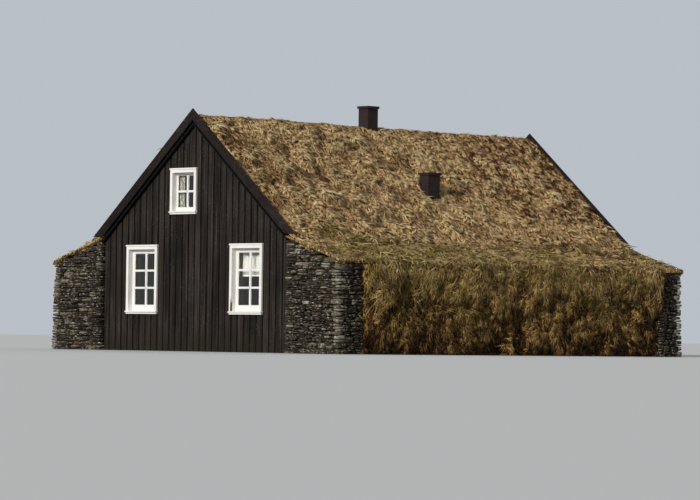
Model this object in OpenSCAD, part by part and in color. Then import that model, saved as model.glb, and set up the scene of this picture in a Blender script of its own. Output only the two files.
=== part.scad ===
// Turf house: a timber body with a boarded gable at each end, set between thick flank
// walls of turf with dry stone corners, under a steep roof of turf.
// X runs across the gable, Y along the ridge from the front gable to the back one,
// Z up from the ground. The origin is on the ground, at the middle of the flank walls.

/* [Timber body] */
// Outside width of the timber body, between the inner faces of the flank walls
body_w = 6260; // [5400:10:7200]
// Length of the timber body between the outer faces of its gables
body_l = 11210; // [9000:10:14000]
// Height of the timber side walls, where the rafters sit
side_wall_h = 2450; // [2350:10:2900]
// Thickness of a timber side wall
side_wall_t = 120; // [80:5:150]
// Thickness of a gable wall with its boards
gable_t = 330; // [220:10:400]

/* [Floors] */
// Height of the ground floor above the ground
floor_h = 200; // [120:10:300]
// Thickness of the floor boards
floor_t = 30; // [20:1:45]
// Depth of the joists that carry the loft floor
joist_d = 125; // [90:5:180]
// Width of a joist or bearer
joist_w = 75; // [50:5:120]

/* [Roof] */
// Pitch of the roof in degrees
roof_pitch = 40.4; // [36:0.1:45]
// Depth of a rafter, square to the slope
rafter_d = 120; // [90:5:160]
// Width of a rafter
rafter_w = 60; // [40:5:100]
// Distance aimed at between rafters
rafter_spacing = 1090; // [700:10:1500]
// Width of the ridge beam
ridge_beam_w = 50; // [40:5:90]
// Depth of the ridge beam
ridge_beam_d = 180; // [140:5:240]
// Thickness of the boards under the turf
deck_t = 30; // [20:1:45]
// Thickness of the turf on the roof, square to the slope
roof_turf_t = 235; // [150:5:300]
// Radius of the turf over the ridge
ridge_r = 120; // [60:5:200]
// How far the boards and the turf run past a gable
verge = 90; // [50:5:150]
// Depth of a barge board, square to the slope
barge_d = 205; // [160:5:300]
// Thickness of a barge board
barge_t = 30; // [20:1:45]
// How far a barge board stands above the turf
barge_up = 25; // [10:5:60]

/* [Flank walls] */
// Thickness of a flank wall at its top
flank_w = 1710; // [1400:10:2100]
// Height of the inner top edge of a flank wall above the timber side wall
flank_rise = 50; // [20:5:120]
// Fall of the top of a flank wall, in degrees
flank_fall = 16.8; // [12:0.1:20]
// How much further out the foot of a flank wall stands than its top
flank_batter = 40; // [10:5:150]
// How far the turf face swells out between the corners
turf_swell = 80; // [30:5:140]
// Length of a stone corner along the flank
corner_l = 830; // [600:10:1200]
// How far the stone corners stand in front of the front gable
corner_front = 180; // [150:10:400]
// How far the stone corners stand behind the back gable
corner_back = 370; // [150:10:500]
// How much further out the foot of a stone corner stands at the end of the flank
corner_batter = 40; // [10:5:80]
// Thickness of the turf that caps a flank wall
cap_t = 150; // [100:5:200]
// How far the turf cap hangs out over the outer face
cap_lip = 60; // [30:5:90]
// How far the lip of the turf cap hangs down over the outer face
cap_drop = 50; // [30:5:80]
// How far the turf cap hangs out over the ends
cap_end = 30; // [10:5:40]

/* [Chimneys] */
// Width of the ridge chimney across the house
ridge_chimney_w = 320; // [260:10:450]
// Length of the ridge chimney along the house
ridge_chimney_l = 340; // [260:10:450]
// Height of the ridge chimney above the turf of the ridge
ridge_chimney_h = 410; // [250:10:700]
// Distance of the ridge chimney behind the face of the front gable
ridge_chimney_y = 5560; // [4000:5:7000]
// Distance of the slope chimney from the ridge line
slope_chimney_x = 2010; // [1200:10:2200]
// Width of the slope chimney across the house
slope_chimney_w = 280; // [240:10:400]
// Length of the slope chimney along the house
slope_chimney_l = 400; // [300:10:500]
// Height of the slope chimney above the turf at its middle
slope_chimney_h = 443; // [300:1:700]
// Distance of the slope chimney behind the face of the front gable
slope_chimney_y = 5630; // [4000:5:7000]
// Thickness of a chimney's side
chimney_t = 30; // [20:1:45]
// Overhang of a chimney's cap
chimney_cap_out = 25; // [15:1:60]
// Thickness of the lid of a chimney's cap
chimney_lid_t = 20; // [12:1:40]
// Depth of the rim of a chimney's cap
chimney_rim_h = 40; // [20:1:70]
// Room round a chimney in the turf
chimney_gap = 10; // [4:1:20]

/* [Windows] */
// Width of a ground floor window over its trim
low_window_w = 1060; // [900:10:1300]
// Height of a ground floor window over its trim
low_window_h = 1600; // [1300:10:1600]
// Height of the foot of the ground floor windows
low_window_z = 850; // [600:10:900]
// Distance of the ground floor windows from the outer side of the timber body
low_window_side = 835; // [600:5:950]
// Width of the loft window over its trim
loft_window_w = 880; // [750:10:1000]
// Height of the loft window over its trim
loft_window_h = 1060; // [850:10:1100]
// Height of the foot of the loft window
loft_window_z = 3140; // [2900:10:3200]
// Distance of the loft window from the middle of the gable, negative to the left
loft_window_x = -370; // [-420:10:420]
// Width of the side trim
trim_w = 75; // [60:5:100]
// How far the trim stands out from the boards
trim_t = 50; // [20:5:60]
// Height of the head trim with its drip cap
head_h = 107; // [80:1:120]
// Height of the drip cap on the head
drip_h = 35; // [20:5:60]
// How far the drip cap stands out from the boards
drip_out = 65; // [55:5:75]
// Fall of the top of a drip cap from the trim to its nose
drip_fall = 14; // [6:1:16]
// Height of the foot of a window up to its opening
sill_h = 75; // [50:5:90]
// Height of the ledge of the sill, at the top of that foot
ledge_h = 36; // [25:1:50]
// Fall of the top of the ledge from the trim to its nose
ledge_fall = 14; // [6:1:20]
// How far the ledge stands out from the boards
sill_out = 80; // [60:5:90]
// How far the ledge and the drip cap run past the trim at each side
ear = 12; // [0:1:30]
// Thickness of the boards that line the opening
lining_t = 25; // [18:1:35]
// Depth of the sash behind the face of the boards
sash_in = 90; // [40:1:110]
// Thickness of a sash
sash_t = 45; // [35:1:55]
// Width of the stiles of a ground floor sash
low_stile_w = 60; // [45:5:100]
// Height of the top rail of a ground floor sash
low_top_rail_h = 90; // [60:5:120]
// Height of the bottom rail of a ground floor sash
low_bottom_rail_h = 130; // [80:5:150]
// Width of the stiles of the loft sash
loft_stile_w = 35; // [30:5:80]
// Height of the top rail of the loft sash
loft_top_rail_h = 55; // [35:5:90]
// Height of the bottom rail of the loft sash
loft_bottom_rail_h = 80; // [50:5:120]
// Width of the rebate that holds the glass
rebate_w = 10; // [6:1:15]
// Depth of the rebate from the outer face of the sash
rebate_d = 20; // [12:1:30]
// Thickness of the glass
glass_t = 4; // [3:1:6]
// Clearance where a sash, a cap or a floor fits in its place
fit = 0.3; // [0.1:0.1:0.9]

/* [Blind and curtain] */
// Depth of the curtain rail behind the face of the boards
rail_in = 185; // [160:5:220]
// Room between the roller of the blind and the inner face of the wall
roller_back = 7; // [2:1:20]
// Radius of the roller of the blind
roller_r = 18; // [12:1:25]
// Room above the roller or the rail, under the lining
roller_room = 12; // [5:1:30]
// How far the blind hangs down from the lining
blind_drop = 627; // [200:1:1100]
// Thickness of the blind's cloth as a plain solid
blind_t = 4; // [2:1:6]
// Height of the bar in the foot of the blind
blind_bar_h = 28; // [15:1:40]
// Thickness of the bar in the foot of the blind
blind_bar_t = 12; // [8:1:16]
// Room between the blind or the curtain and the lining at each side
shade_side = 8; // [4:1:20]
// Radius of the curtain rail
rail_r = 7; // [5:1:10]
// Width of the gathered curtain
curtain_w = 180; // [120:10:500]
// Thickness of the gathered curtain, over its folds
curtain_t = 50; // [30:5:60]
// Room under the curtain
curtain_foot = 15; // [5:1:60]

/* [Hidden] */

tar = "#262220";
stone = "#55524c";
turf = "#6b6238";
dry_turf = "#a08455";
wood = "#a88a62";
white_paint = "#e8e6e0";
pane = "#5c6068";
cloth = "#d8d4c8";

// Places along the house
flank_l = body_l + corner_front + corner_back;
y_front = corner_front - flank_l / 2;
y_back = y_front + body_l;
y_in_front = y_front + gable_t;
y_in_back = y_back - gable_t;
y_ridge_chimney = y_front + ridge_chimney_y;
y_slope_chimney = y_front + slope_chimney_y;

// Places across the house
half_w = body_w / 2;
room_half_w = half_w - side_wall_t;
flank_out_x = half_w + flank_w;
low_window_x = half_w - low_window_side - low_window_w / 2;

// Heights of the layers of the roof at the distance x from the ridge line
run = tan(roof_pitch);
function plumb(t) = t / cos(roof_pitch);
function rafter_low(x) = side_wall_h + (room_half_w - x) * run;
function deck_low(x) = rafter_low(x) + plumb(rafter_d);
function deck_high(x) = deck_low(x) + plumb(deck_t);
function turf_high(x) = deck_high(x) + plumb(roof_turf_t);
function barge_high(x) = turf_high(x) + plumb(barge_up);
function barge_low(x) = barge_high(x) - plumb(barge_d);
ridge_top = turf_high(0) - plumb(ridge_r) + ridge_r;

// Heights of a flank wall and its cap, and the crease where the roof dies into the cap
flank_in_h = side_wall_h + flank_rise;
function flank_high(x) = flank_in_h - (x - half_w) * tan(flank_fall);
function cap_high(x) = flank_high(x) + cap_t;
crease_x = half_w + (turf_high(half_w) - cap_high(half_w)) / (run - tan(flank_fall));
barge_end_z = cap_high(half_w);

// Rafters stand in even bays between the gables, and joists between the rafters
bays = round((y_in_back - y_in_front) / rafter_spacing);
bay_l = (y_in_back - y_in_front) / bays;
joist_high = side_wall_h + joist_d;
loft_high = joist_high + floor_t;
loft_half_w = (rafter_low(0) - loft_high) / run - fit;

// Number of straight steps in a curve of the turf
curve_steps = 10;

// How far a cutting shape runs past the faces that it cuts
past = 1;

// Points from a to b on a circle that swells by s to the right of the way
function swell(a, b, s) =
  let (chord = norm(b - a), r = (chord * chord / 4 + s * s) / (2 * s),
       way = (b - a) / chord, out = [way[1], -way[0]],
       centre = (a + b) / 2 - out * (r - s), half = asin(chord / 2 / r))
  [for (i = [0 : curve_steps])
    let (turn = -half + 2 * half * i / curve_steps)
    centre + r * (out * cos(turn) + way * sin(turn))];

// A flat outline in X and Z, given a thickness along Y
module along_y(y0, y1)
  translate([0, y1, 0]) rotate([90, 0, 0]) linear_extrude(y1 - y0) children();

// A flat outline in Y and Z, given a thickness along X
module along_x(x0, x1)
  translate([x0, 0, 0]) rotate([90, 0, 90]) linear_extrude(x1 - x0) children();

module on_left() mirror([1, 0, 0]) children();
module at_front() translate([0, y_front, 0]) children();
module at_back() translate([0, y_back, 0]) rotate([0, 0, 180]) children();

// Timber body

module under_deck_outline()
  polygon([[-half_w, 0], [half_w, 0], [half_w, deck_low(half_w)], [0, deck_low(0)],
           [-half_w, deck_low(half_w)]]);

module gable_wall() color(tar) difference() {
  along_y(0, gable_t) under_deck_outline();
  for (x = [-low_window_x, low_window_x])
    window_opening(x, low_window_z, low_window_w, low_window_h);
  window_opening(loft_window_x, loft_window_z, loft_window_w, loft_window_h);
}

module side_wall() color(wood)
  translate([room_half_w, y_in_front, 0])
    cube([side_wall_t, y_in_back - y_in_front, side_wall_h]);

module ground_floor() color(wood) {
  translate([-room_half_w, y_in_front, floor_h - floor_t])
    cube([2 * room_half_w, y_in_back - y_in_front, floor_t]);
  for (i = [0 : bays - 1])
    translate([-room_half_w, y_in_front + (i + 0.5) * bay_l - joist_w / 2, 0])
      cube([2 * room_half_w, joist_w, floor_h - floor_t]);
}

module loft_joists() color(wood)
  for (i = [1 : bays - 1]) {
    y = y_in_front + i * bay_l;
    along_y(y - joist_w / 2, y + joist_w / 2) intersection() {
      translate([-half_w, side_wall_h]) square([body_w, joist_d]);
      under_deck_outline();
    }
  }

module loft_floor() color(wood)
  translate([-loft_half_w, y_in_front, joist_high])
    cube([2 * loft_half_w, y_in_back - y_in_front, floor_t]);

// Roof

module rafters() color(wood)
  for (i = [0 : bays - 1]) {
    y = y_in_front + (i + 0.5) * bay_l;
    rafter(y);
    on_left() rafter(y);
  }

module rafter(y)
  along_y(y - rafter_w / 2, y + rafter_w / 2)
    polygon([[ridge_beam_w / 2, rafter_low(ridge_beam_w / 2)],
             [room_half_w, side_wall_h], [half_w, side_wall_h],
             [half_w, deck_low(half_w)], [ridge_beam_w / 2, deck_low(ridge_beam_w / 2)]]);

module ridge_beam() color(wood)
  translate([-ridge_beam_w / 2, y_in_front, deck_low(ridge_beam_w / 2) - ridge_beam_d])
    cube([ridge_beam_w, y_in_back - y_in_front, ridge_beam_d]);

module roof_deck() color(wood)
  along_y(y_front - verge, y_back + verge)
    polygon([[0, deck_low(0)], [half_w, deck_low(half_w)],
             [half_w, deck_high(half_w)], [0, deck_high(0)]]);

module roof_turf_outline()
  polygon(concat(
    [[0, deck_high(0)], [half_w, deck_high(half_w)], [half_w, flank_in_h],
     [crease_x, flank_high(crease_x)], [crease_x, turf_high(crease_x)]],
    [for (i = [curve_steps : -1 : 0])
      let (turn = roof_pitch * i / curve_steps)
      [ridge_r * sin(turn), ridge_top - ridge_r + ridge_r * cos(turn)]]));

module chimney_hole(x, y, w, l)
  translate([x - w / 2 - chimney_gap, y - l / 2 - chimney_gap, 0])
    cube([w + 2 * chimney_gap, l + 2 * chimney_gap, ridge_top + past]);

module roof_turf() color(dry_turf) difference() {
  along_y(y_front - verge, y_back + verge) roof_turf_outline();
  chimney_hole(0, y_ridge_chimney, ridge_chimney_w, ridge_chimney_l);
}

module right_roof_turf() color(dry_turf) difference() {
  roof_turf();
  chimney_hole(slope_chimney_x, y_slope_chimney, slope_chimney_w, slope_chimney_l);
}

module barge_board() color(tar)
  along_y(-verge - barge_t, -verge)
    polygon([[0, barge_low(0)], [(barge_low(0) - barge_end_z) / run, barge_end_z],
             [(barge_high(0) - barge_end_z) / run, barge_end_z], [0, barge_high(0)]]);

// Flank walls

module flank_outline(face)
  polygon(concat([[half_w, 0]], face, [[half_w, flank_in_h]]));

flank_foot = [flank_out_x + flank_batter, 0];
flank_brow = [flank_out_x, flank_high(flank_out_x)];

module turf_wall() color(turf)
  along_y(corner_l - flank_l / 2, flank_l / 2 - corner_l)
    flank_outline(swell(flank_foot, flank_brow, turf_swell));

module corner() color(stone) intersection() {
  along_y(-flank_l / 2, corner_l - flank_l / 2) flank_outline([flank_foot, flank_brow]);
  along_x(half_w, flank_out_x + flank_batter)
    polygon([[-flank_l / 2, 0], [corner_l - flank_l / 2, 0],
             [corner_l - flank_l / 2, flank_in_h],
             [corner_batter - flank_l / 2, flank_in_h]]);
}

module cap_outline() {
  brow = [flank_out_x + cap_lip / 2, cap_high(flank_out_x + cap_lip / 2)];
  chin = [flank_out_x + cap_lip / 2, flank_high(flank_out_x) - cap_drop];
  polygon(concat([[half_w, flank_in_h], flank_brow,
                  [flank_out_x, flank_high(flank_out_x) - cap_drop]],
                 swell(chin, brow, cap_lip / 2), [[half_w, cap_high(half_w)]]));
}

module turf_cap() color(turf) difference() {
  end_y = flank_l / 2 - corner_batter + cap_end;
  along_y(-end_y, end_y) cap_outline();
  translate([0, y_front - verge, 0])
    cube([crease_x, body_l + 2 * verge, turf_high(0)]);
}

// Chimneys

module chimney(x, y, w, l, top) color(tar)
  difference() {
    along_y(y - l / 2, y + l / 2)
      difference() {
        translate([x - w / 2, 0]) square([w, top]);
        polygon([[-half_w, 0], [half_w, 0], [half_w, deck_high(half_w)],
                 [0, deck_high(0)], [-half_w, deck_high(half_w)]]);
      }
    translate([x - w / 2 + chimney_t, y - l / 2 + chimney_t, 0])
      cube([w - 2 * chimney_t, l - 2 * chimney_t, top + past]);
  }

module chimney_cap(x, y, w, l, top) color(tar)
  translate([x, y, 0]) difference() {
    translate([-w / 2 - chimney_cap_out, -l / 2 - chimney_cap_out, top - chimney_rim_h])
      cube([w + 2 * chimney_cap_out, l + 2 * chimney_cap_out,
            chimney_rim_h + chimney_lid_t]);
    translate([-w / 2 - fit, -l / 2 - fit, 0]) cube([w + 2 * fit, l + 2 * fit, top]);
  }

ridge_chimney_top = ridge_top + ridge_chimney_h;
slope_chimney_top = turf_high(slope_chimney_x) + slope_chimney_h;

// Windows, each placed with the middle of its foot at [x, z] on the face of a gable

module window_opening(x, z, w, h)
  translate([x - w / 2 + trim_w - lining_t, -past, z + sill_h - lining_t])
    cube([w - 2 * (trim_w - lining_t), gable_t + 2 * past,
          h - sill_h - head_h + 2 * lining_t]);

module window_casing(x, z, w, h) color(white_paint)
  translate([x, 0, z]) difference() {
    union() {
      translate([-w / 2, -trim_t, 0]) cube([w, trim_t, h]);
      translate([-w / 2 + trim_w - lining_t, 0, sill_h - lining_t])
        cube([w - 2 * (trim_w - lining_t), gable_t, h - sill_h - head_h + 2 * lining_t]);
      along_x(-w / 2 - ear, w / 2 + ear)
        polygon([[0, sill_h - ledge_h], [0, sill_h], [-trim_t, sill_h],
                 [-sill_out, sill_h - ledge_fall], [-sill_out, sill_h - ledge_h]]);
      along_x(-w / 2 - ear, w / 2 + ear)
        polygon([[0, h - drip_h], [0, h], [-trim_t, h],
                 [-drip_out, h - drip_fall], [-drip_out, h - drip_h]]);
    }
    translate([-w / 2 + trim_w, -sill_out - past, sill_h])
      cube([w - 2 * trim_w, sill_out + gable_t + 2 * past, h - sill_h - head_h]);
  }

module window_sash(x, z, w, h, stile, top_rail, bottom_rail) color(white_paint)
  translate([x - w / 2 + trim_w + fit, sash_in, z + sill_h]) {
    sash_w = w - 2 * trim_w - 2 * fit;
    sash_h = h - sill_h - head_h - fit;
    light_w = sash_w - 2 * stile;
    light_h = sash_h - top_rail - bottom_rail;
    difference() {
      cube([sash_w, sash_t, sash_h]);
      translate([stile, -past, bottom_rail])
        cube([light_w, sash_t + 2 * past, light_h]);
      translate([stile - rebate_w, -past, bottom_rail - rebate_w])
        cube([light_w + 2 * rebate_w, rebate_d + past, light_h + 2 * rebate_w]);
    }
  }

module window_pane(x, z, w, h, stile, top_rail, bottom_rail) color(pane) {
  light_w = w - 2 * trim_w - 2 * fit - 2 * stile;
  light_h = h - sill_h - head_h - fit - top_rail - bottom_rail;
  translate([x - light_w / 2 - rebate_w + fit, sash_in + rebate_d - glass_t,
             z + sill_h + bottom_rail - rebate_w])
    cube([light_w + 2 * rebate_w - 2 * fit, glass_t, light_h + 2 * rebate_w - fit]);
}

// A roller across the lining, the blind that hangs from its outer side, and its bar
module window_blind(x, z, w, h) color(cloth)
  translate([x, gable_t - roller_back - roller_r, z]) {
    lining_w = w - 2 * trim_w;
    lining_high = h - head_h;
    blind_w = lining_w - 2 * shade_side;
    roller_z = lining_high - roller_room - roller_r;
    translate([-lining_w / 2, 0, roller_z]) rotate([0, 90, 0])
      cylinder(r = roller_r, h = lining_w, $fn = 32);
    translate([-blind_w / 2, -roller_r, lining_high - blind_drop])
      cube([blind_w, blind_t, roller_z - lining_high + blind_drop]);
    translate([-blind_w / 2, -roller_r + blind_t / 2 - blind_bar_t / 2,
               lining_high - blind_drop])
      cube([blind_w, blind_bar_t, blind_bar_h]);
  }

// A rail across the lining, and the curtain gathered at its left end
module window_curtain(x, z, w, h) color(cloth) translate([x, rail_in, z]) {
  lining_w = w - 2 * trim_w;
  rail_z = h - head_h - roller_room - rail_r;
  translate([-lining_w / 2, 0, rail_z]) rotate([0, 90, 0])
    cylinder(r = rail_r, h = lining_w, $fn = 32);
  translate([-lining_w / 2 + shade_side, -curtain_t / 2, sill_h + curtain_foot])
    cube([curtain_w, curtain_t, rail_z + rail_r - sill_h - curtain_foot]);
}

module low_casing(x) window_casing(x, low_window_z, low_window_w, low_window_h);
module loft_casing()
  window_casing(loft_window_x, loft_window_z, loft_window_w, loft_window_h);
module low_sash(x)
  window_sash(x, low_window_z, low_window_w, low_window_h,
              low_stile_w, low_top_rail_h, low_bottom_rail_h);
module loft_sash()
  window_sash(loft_window_x, loft_window_z, loft_window_w, loft_window_h,
              loft_stile_w, loft_top_rail_h, loft_bottom_rail_h);
module window_glass() {
  for (x = [-low_window_x, low_window_x])
    window_pane(x, low_window_z, low_window_w, low_window_h,
                low_stile_w, low_top_rail_h, low_bottom_rail_h);
  window_pane(loft_window_x, loft_window_z, loft_window_w, loft_window_h,
              loft_stile_w, loft_top_rail_h, loft_bottom_rail_h);
}

at_front() gable_wall();  // front_gable_wall
at_back() gable_wall();  // back_gable_wall
on_left() side_wall();  // left_side_wall
side_wall();  // right_side_wall
on_left() turf_wall();  // left_turf_wall
turf_wall();  // right_turf_wall
on_left() corner();  // front_left_corner
corner();  // front_right_corner
rotate([0, 0, 180]) corner();  // back_left_corner
mirror([0, 1, 0]) corner();  // back_right_corner
on_left() turf_cap();  // left_turf_cap
turf_cap();  // right_turf_cap
on_left() roof_turf();  // left_roof_turf
right_roof_turf();
on_left() roof_deck();  // left_roof_deck
roof_deck();  // right_roof_deck
rafters();
ridge_beam();
at_front() on_left() barge_board();  // front_left_barge_board
at_front() barge_board();  // front_right_barge_board
at_back() barge_board();  // back_left_barge_board
at_back() on_left() barge_board();  // back_right_barge_board
chimney(0, y_ridge_chimney, ridge_chimney_w, ridge_chimney_l, ridge_chimney_top);  // ridge_chimney
chimney_cap(0, y_ridge_chimney, ridge_chimney_w, ridge_chimney_l, ridge_chimney_top);  // ridge_chimney_cap
chimney(slope_chimney_x, y_slope_chimney, slope_chimney_w, slope_chimney_l,  // slope_chimney
          slope_chimney_top);
chimney_cap(slope_chimney_x, y_slope_chimney, slope_chimney_w, slope_chimney_l,  // slope_chimney_cap
              slope_chimney_top);
ground_floor();
loft_joists();
loft_floor();
at_front() low_casing(-low_window_x);  // front_left_window_casing
at_front() low_sash(-low_window_x);  // front_left_window_sash
at_front() low_casing(low_window_x);  // front_right_window_casing
at_front() low_sash(low_window_x);  // front_right_window_sash
at_front() loft_casing();  // front_loft_window_casing
at_front() loft_sash();  // front_loft_window_sash
at_front() window_glass();  // front_window_glass
at_back() low_casing(low_window_x);  // back_left_window_casing
at_back() low_sash(low_window_x);  // back_left_window_sash
at_back() low_casing(-low_window_x);  // back_right_window_casing
at_back() low_sash(-low_window_x);  // back_right_window_sash
at_back() loft_casing();  // back_loft_window_casing
at_back() loft_sash();  // back_loft_window_sash
at_back() window_glass();  // back_window_glass
at_front() window_blind(low_window_x, low_window_z, low_window_w, low_window_h);  // front_right_window_blind
at_front() window_curtain(loft_window_x, loft_window_z, loft_window_w, loft_window_h);  // front_loft_window_curtain
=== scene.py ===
# %% [markdown]
# A turf house
#
# This scene dresses a small farmhouse: a timber body with a boarded gable at each end,
# thick flank walls of turf between dry stone corners, and a steep roof of turf. The
# construction comes from the CAD frame, in metres. What is added here is what a builder
# lays on by the hundred: boards, stones, glazing bars and grass, and every finish.

# %% The frame
import math
import random
import bmesh
import bpy
import numpy as np
from mathutils import Matrix, Vector, noise


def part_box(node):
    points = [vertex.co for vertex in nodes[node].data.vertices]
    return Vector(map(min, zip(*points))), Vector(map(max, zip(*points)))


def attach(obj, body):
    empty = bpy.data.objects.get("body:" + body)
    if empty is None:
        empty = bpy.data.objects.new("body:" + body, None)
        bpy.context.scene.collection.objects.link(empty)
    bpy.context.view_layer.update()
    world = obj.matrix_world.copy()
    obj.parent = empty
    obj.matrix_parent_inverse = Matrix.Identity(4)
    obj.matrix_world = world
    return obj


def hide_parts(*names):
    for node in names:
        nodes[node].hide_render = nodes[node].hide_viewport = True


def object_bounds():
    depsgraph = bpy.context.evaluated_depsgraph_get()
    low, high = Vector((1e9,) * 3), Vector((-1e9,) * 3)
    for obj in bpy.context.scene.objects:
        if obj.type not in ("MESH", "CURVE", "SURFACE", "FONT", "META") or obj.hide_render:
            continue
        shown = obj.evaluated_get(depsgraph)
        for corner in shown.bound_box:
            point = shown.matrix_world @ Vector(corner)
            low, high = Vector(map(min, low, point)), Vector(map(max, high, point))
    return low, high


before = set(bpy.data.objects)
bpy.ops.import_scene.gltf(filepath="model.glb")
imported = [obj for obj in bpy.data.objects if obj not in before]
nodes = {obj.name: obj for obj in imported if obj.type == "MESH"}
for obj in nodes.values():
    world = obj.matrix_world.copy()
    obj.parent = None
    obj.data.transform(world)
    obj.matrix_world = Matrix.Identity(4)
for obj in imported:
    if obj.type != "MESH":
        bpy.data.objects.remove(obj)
cad_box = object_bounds()
print("the frame has", len(nodes), "nodes and this box:", cad_box)

# %% [markdown]
# Working by hand, in code
#
# An operator acts on all that is selected, and loading the frame leaves its nodes
# selected. So each step starts by making one object the only selected one. In edit mode,
# faces and edges are then chosen by their place or their normal, as an eye would.

# %% Helpers for objects and selections
def clear_hands():
    """Object mode with nothing selected, ready for a new primitive."""
    if bpy.context.mode != "OBJECT":
        bpy.ops.object.mode_set(mode="OBJECT")
    bpy.ops.object.select_all(action="DESELECT")


def use(obj):
    """Makes obj the active object and the only one selected, in object mode."""
    clear_hands()
    obj.select_set(True)
    bpy.context.view_layer.objects.active = obj
    return obj


def edit(obj, kind="FACE"):
    """Opens obj in edit mode with nothing selected."""
    use(obj)
    bpy.ops.object.mode_set(mode="EDIT")
    bpy.ops.mesh.select_mode(type=kind)
    bpy.ops.mesh.select_all(action="DESELECT")


def pick_faces(obj, test):
    """Selects the faces whose middle and normal pass the test."""
    cage = bmesh.from_edit_mesh(obj.data)
    for face in cage.faces:
        if test(face.calc_center_median(), face.normal):
            face.select_set(True)
    bmesh.update_edit_mesh(obj.data)


def pick_edges(obj, test):
    """Selects the edges whose two ends pass the test."""
    cage = bmesh.from_edit_mesh(obj.data)
    for edge in cage.edges:
        if test(edge.verts[0].co, edge.verts[1].co):
            edge.select_set(True)
    bmesh.update_edit_mesh(obj.data)


def settle(obj):
    """Puts an object's place, turn and scale into its mesh."""
    use(obj)
    bpy.ops.object.transform_apply(location=True, rotation=True, scale=True)
    return obj


def block(name, low, high):
    """A cube primitive from corner to corner, to be shaped further."""
    low, high = Vector(low), Vector(high)
    clear_hands()
    bpy.ops.mesh.primitive_cube_add(size=1, location=(low + high) / 2)
    obj = bpy.context.object
    obj.name = name
    obj.scale = high - low
    return settle(obj)


# %% Helpers for modifiers, joining and copies
weld_reach = 0.00002


def modify(obj, kind, **settings):
    """Adds one modifier and applies it."""
    use(obj)
    step = obj.modifiers.new(kind.title(), kind)
    for name, value in settings.items():
        setattr(step, name, value)
    bpy.ops.object.modifier_apply(modifier=step.name)


def join(pieces, name):
    """Joins the pieces into the first one and names it."""
    use(pieces[0])
    for piece in pieces:
        piece.select_set(True)
    bpy.ops.object.join()
    pieces[0].name = name
    return pieces[0]


def twin(obj, name):
    """A copy of obj with a mesh of its own."""
    made = bpy.data.objects.new(name, obj.data.copy())
    bpy.context.scene.collection.objects.link(made)
    return made


def merged_copy(node, name):
    """A copy of a CAD node whose loose triangles are merged at their corners."""
    made = twin(nodes[node], name)
    made.data.materials.clear()
    edit(made, "VERT")
    bpy.ops.mesh.select_all(action="SELECT")
    bpy.ops.mesh.remove_doubles(threshold=weld_reach)
    bpy.ops.object.mode_set(mode="OBJECT")
    return made


def drop(*objects):
    """Deletes objects that were only tools."""
    for obj in objects:
        bpy.data.objects.remove(obj, do_unlink=True)


added = {}


def keep(obj, finish, slot, *replaced):
    """Gives a finished piece its material, its body and the nodes it replaces; slot is not used."""
    if finish:
        obj.data.materials.clear()
        obj.data.materials.append(finish)
    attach(obj, "root")
    if replaced:
        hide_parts(*replaced)
    added[obj.name] = sum(len(face.vertices) - 2 for face in obj.data.polygons)
    print(obj.name, "has", added[obj.name], "triangles")
    return obj


# %% [markdown]
# Sizes read from the frame
#
# The roof's pitch and the radius over its ridge are driving sizes of the source. The rest
# is read from the boxes of the nodes, so a piece added here follows the solid it covers.

# %% Sizes of the roof and the flank walls
pitch = math.radians(40.4)
ridge_r = 0.12
flank_fall = math.radians(16.8)

roof_low, roof_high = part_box("right_roof_turf")
ridge_top = roof_high.z
turf_z = ridge_top + ridge_r / math.cos(pitch) - ridge_r
crease_x = roof_high.x

gable_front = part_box("front_gable_wall")[0].y
gable_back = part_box("back_gable_wall")[1].y
body_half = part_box("front_gable_wall")[1].x

flank_in_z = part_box("right_turf_wall")[1].z
wall_foot_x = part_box("front_right_corner")[1].x
wall_brow_x = wall_foot_x - 0.04
wall_brow_z = flank_in_z - (wall_brow_x - body_half) * math.tan(flank_fall)
cap_top_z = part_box("right_turf_cap")[1].z
end_y_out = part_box("back_right_corner")[1].y
flanks = ((1, "right"), (-1, "left"))
print("ridge", ridge_top, "crease", crease_x, "gables", gable_front, gable_back)
print("flank from", body_half, "to", wall_foot_x, "brow at", wall_brow_z)


def clamped(value):
    """A number kept between 0 and 1."""
    return max(0.0, min(1.0, value))


# %% [markdown]
# Node trees, wired by name
#
# A finish is a small machine of nodes. One helper adds a node, sets its values, and links
# the sockets it is given. An effect that several finishes share, such as weathering or
# grain, is a node group, built once, and each material gives it its own values.

# %% Helpers for single nodes
def add(tree, kind, inputs=None, **settings):
    """Adds a shader node; inputs holds numbers, colours or sockets to link."""
    made = tree.nodes.new("ShaderNode" + kind)
    for name, value in settings.items():
        setattr(made, name, value)
    for name, value in (inputs or {}).items():
        if isinstance(value, bpy.types.NodeSocket):
            tree.links.new(value, made.inputs[name])
        else:
            made.inputs[name].default_value = value
    return made


def math_of(tree, operation, a, b=0.0, c=0.0, clamp=False):
    """The result of one Math node."""
    return add(tree, "Math", {0: a, 1: b, 2: c}, operation=operation, use_clamp=clamp).outputs[0]


def remap(tree, value, low=0.0, high=1.0, first=0.0, last=1.0):
    """A value that runs from low to high, made to run from first to last."""
    return add(tree, "MapRange", {0: value, 1: low, 2: high, 3: first, 4: last}).outputs[0]


def noise_of(tree, vector, scale, detail, distortion=0.0):
    """Cloudy noise between 0 and 1."""
    return add(tree, "TexNoise", {"Vector": vector, "Scale": scale, "Detail": detail,
                                  "Distortion": distortion}).outputs["Fac"]


def parts_of(tree, vector):
    """The X, Y and Z of a vector."""
    return add(tree, "SeparateXYZ", {0: vector}).outputs


def blend(tree, share, a, b, way="MIX"):
    """Two colours mixed by a share."""
    return add(tree, "Mix", {0: share, 6: a, 7: b}, data_type="RGBA", blend_type=way).outputs[2]


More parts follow.
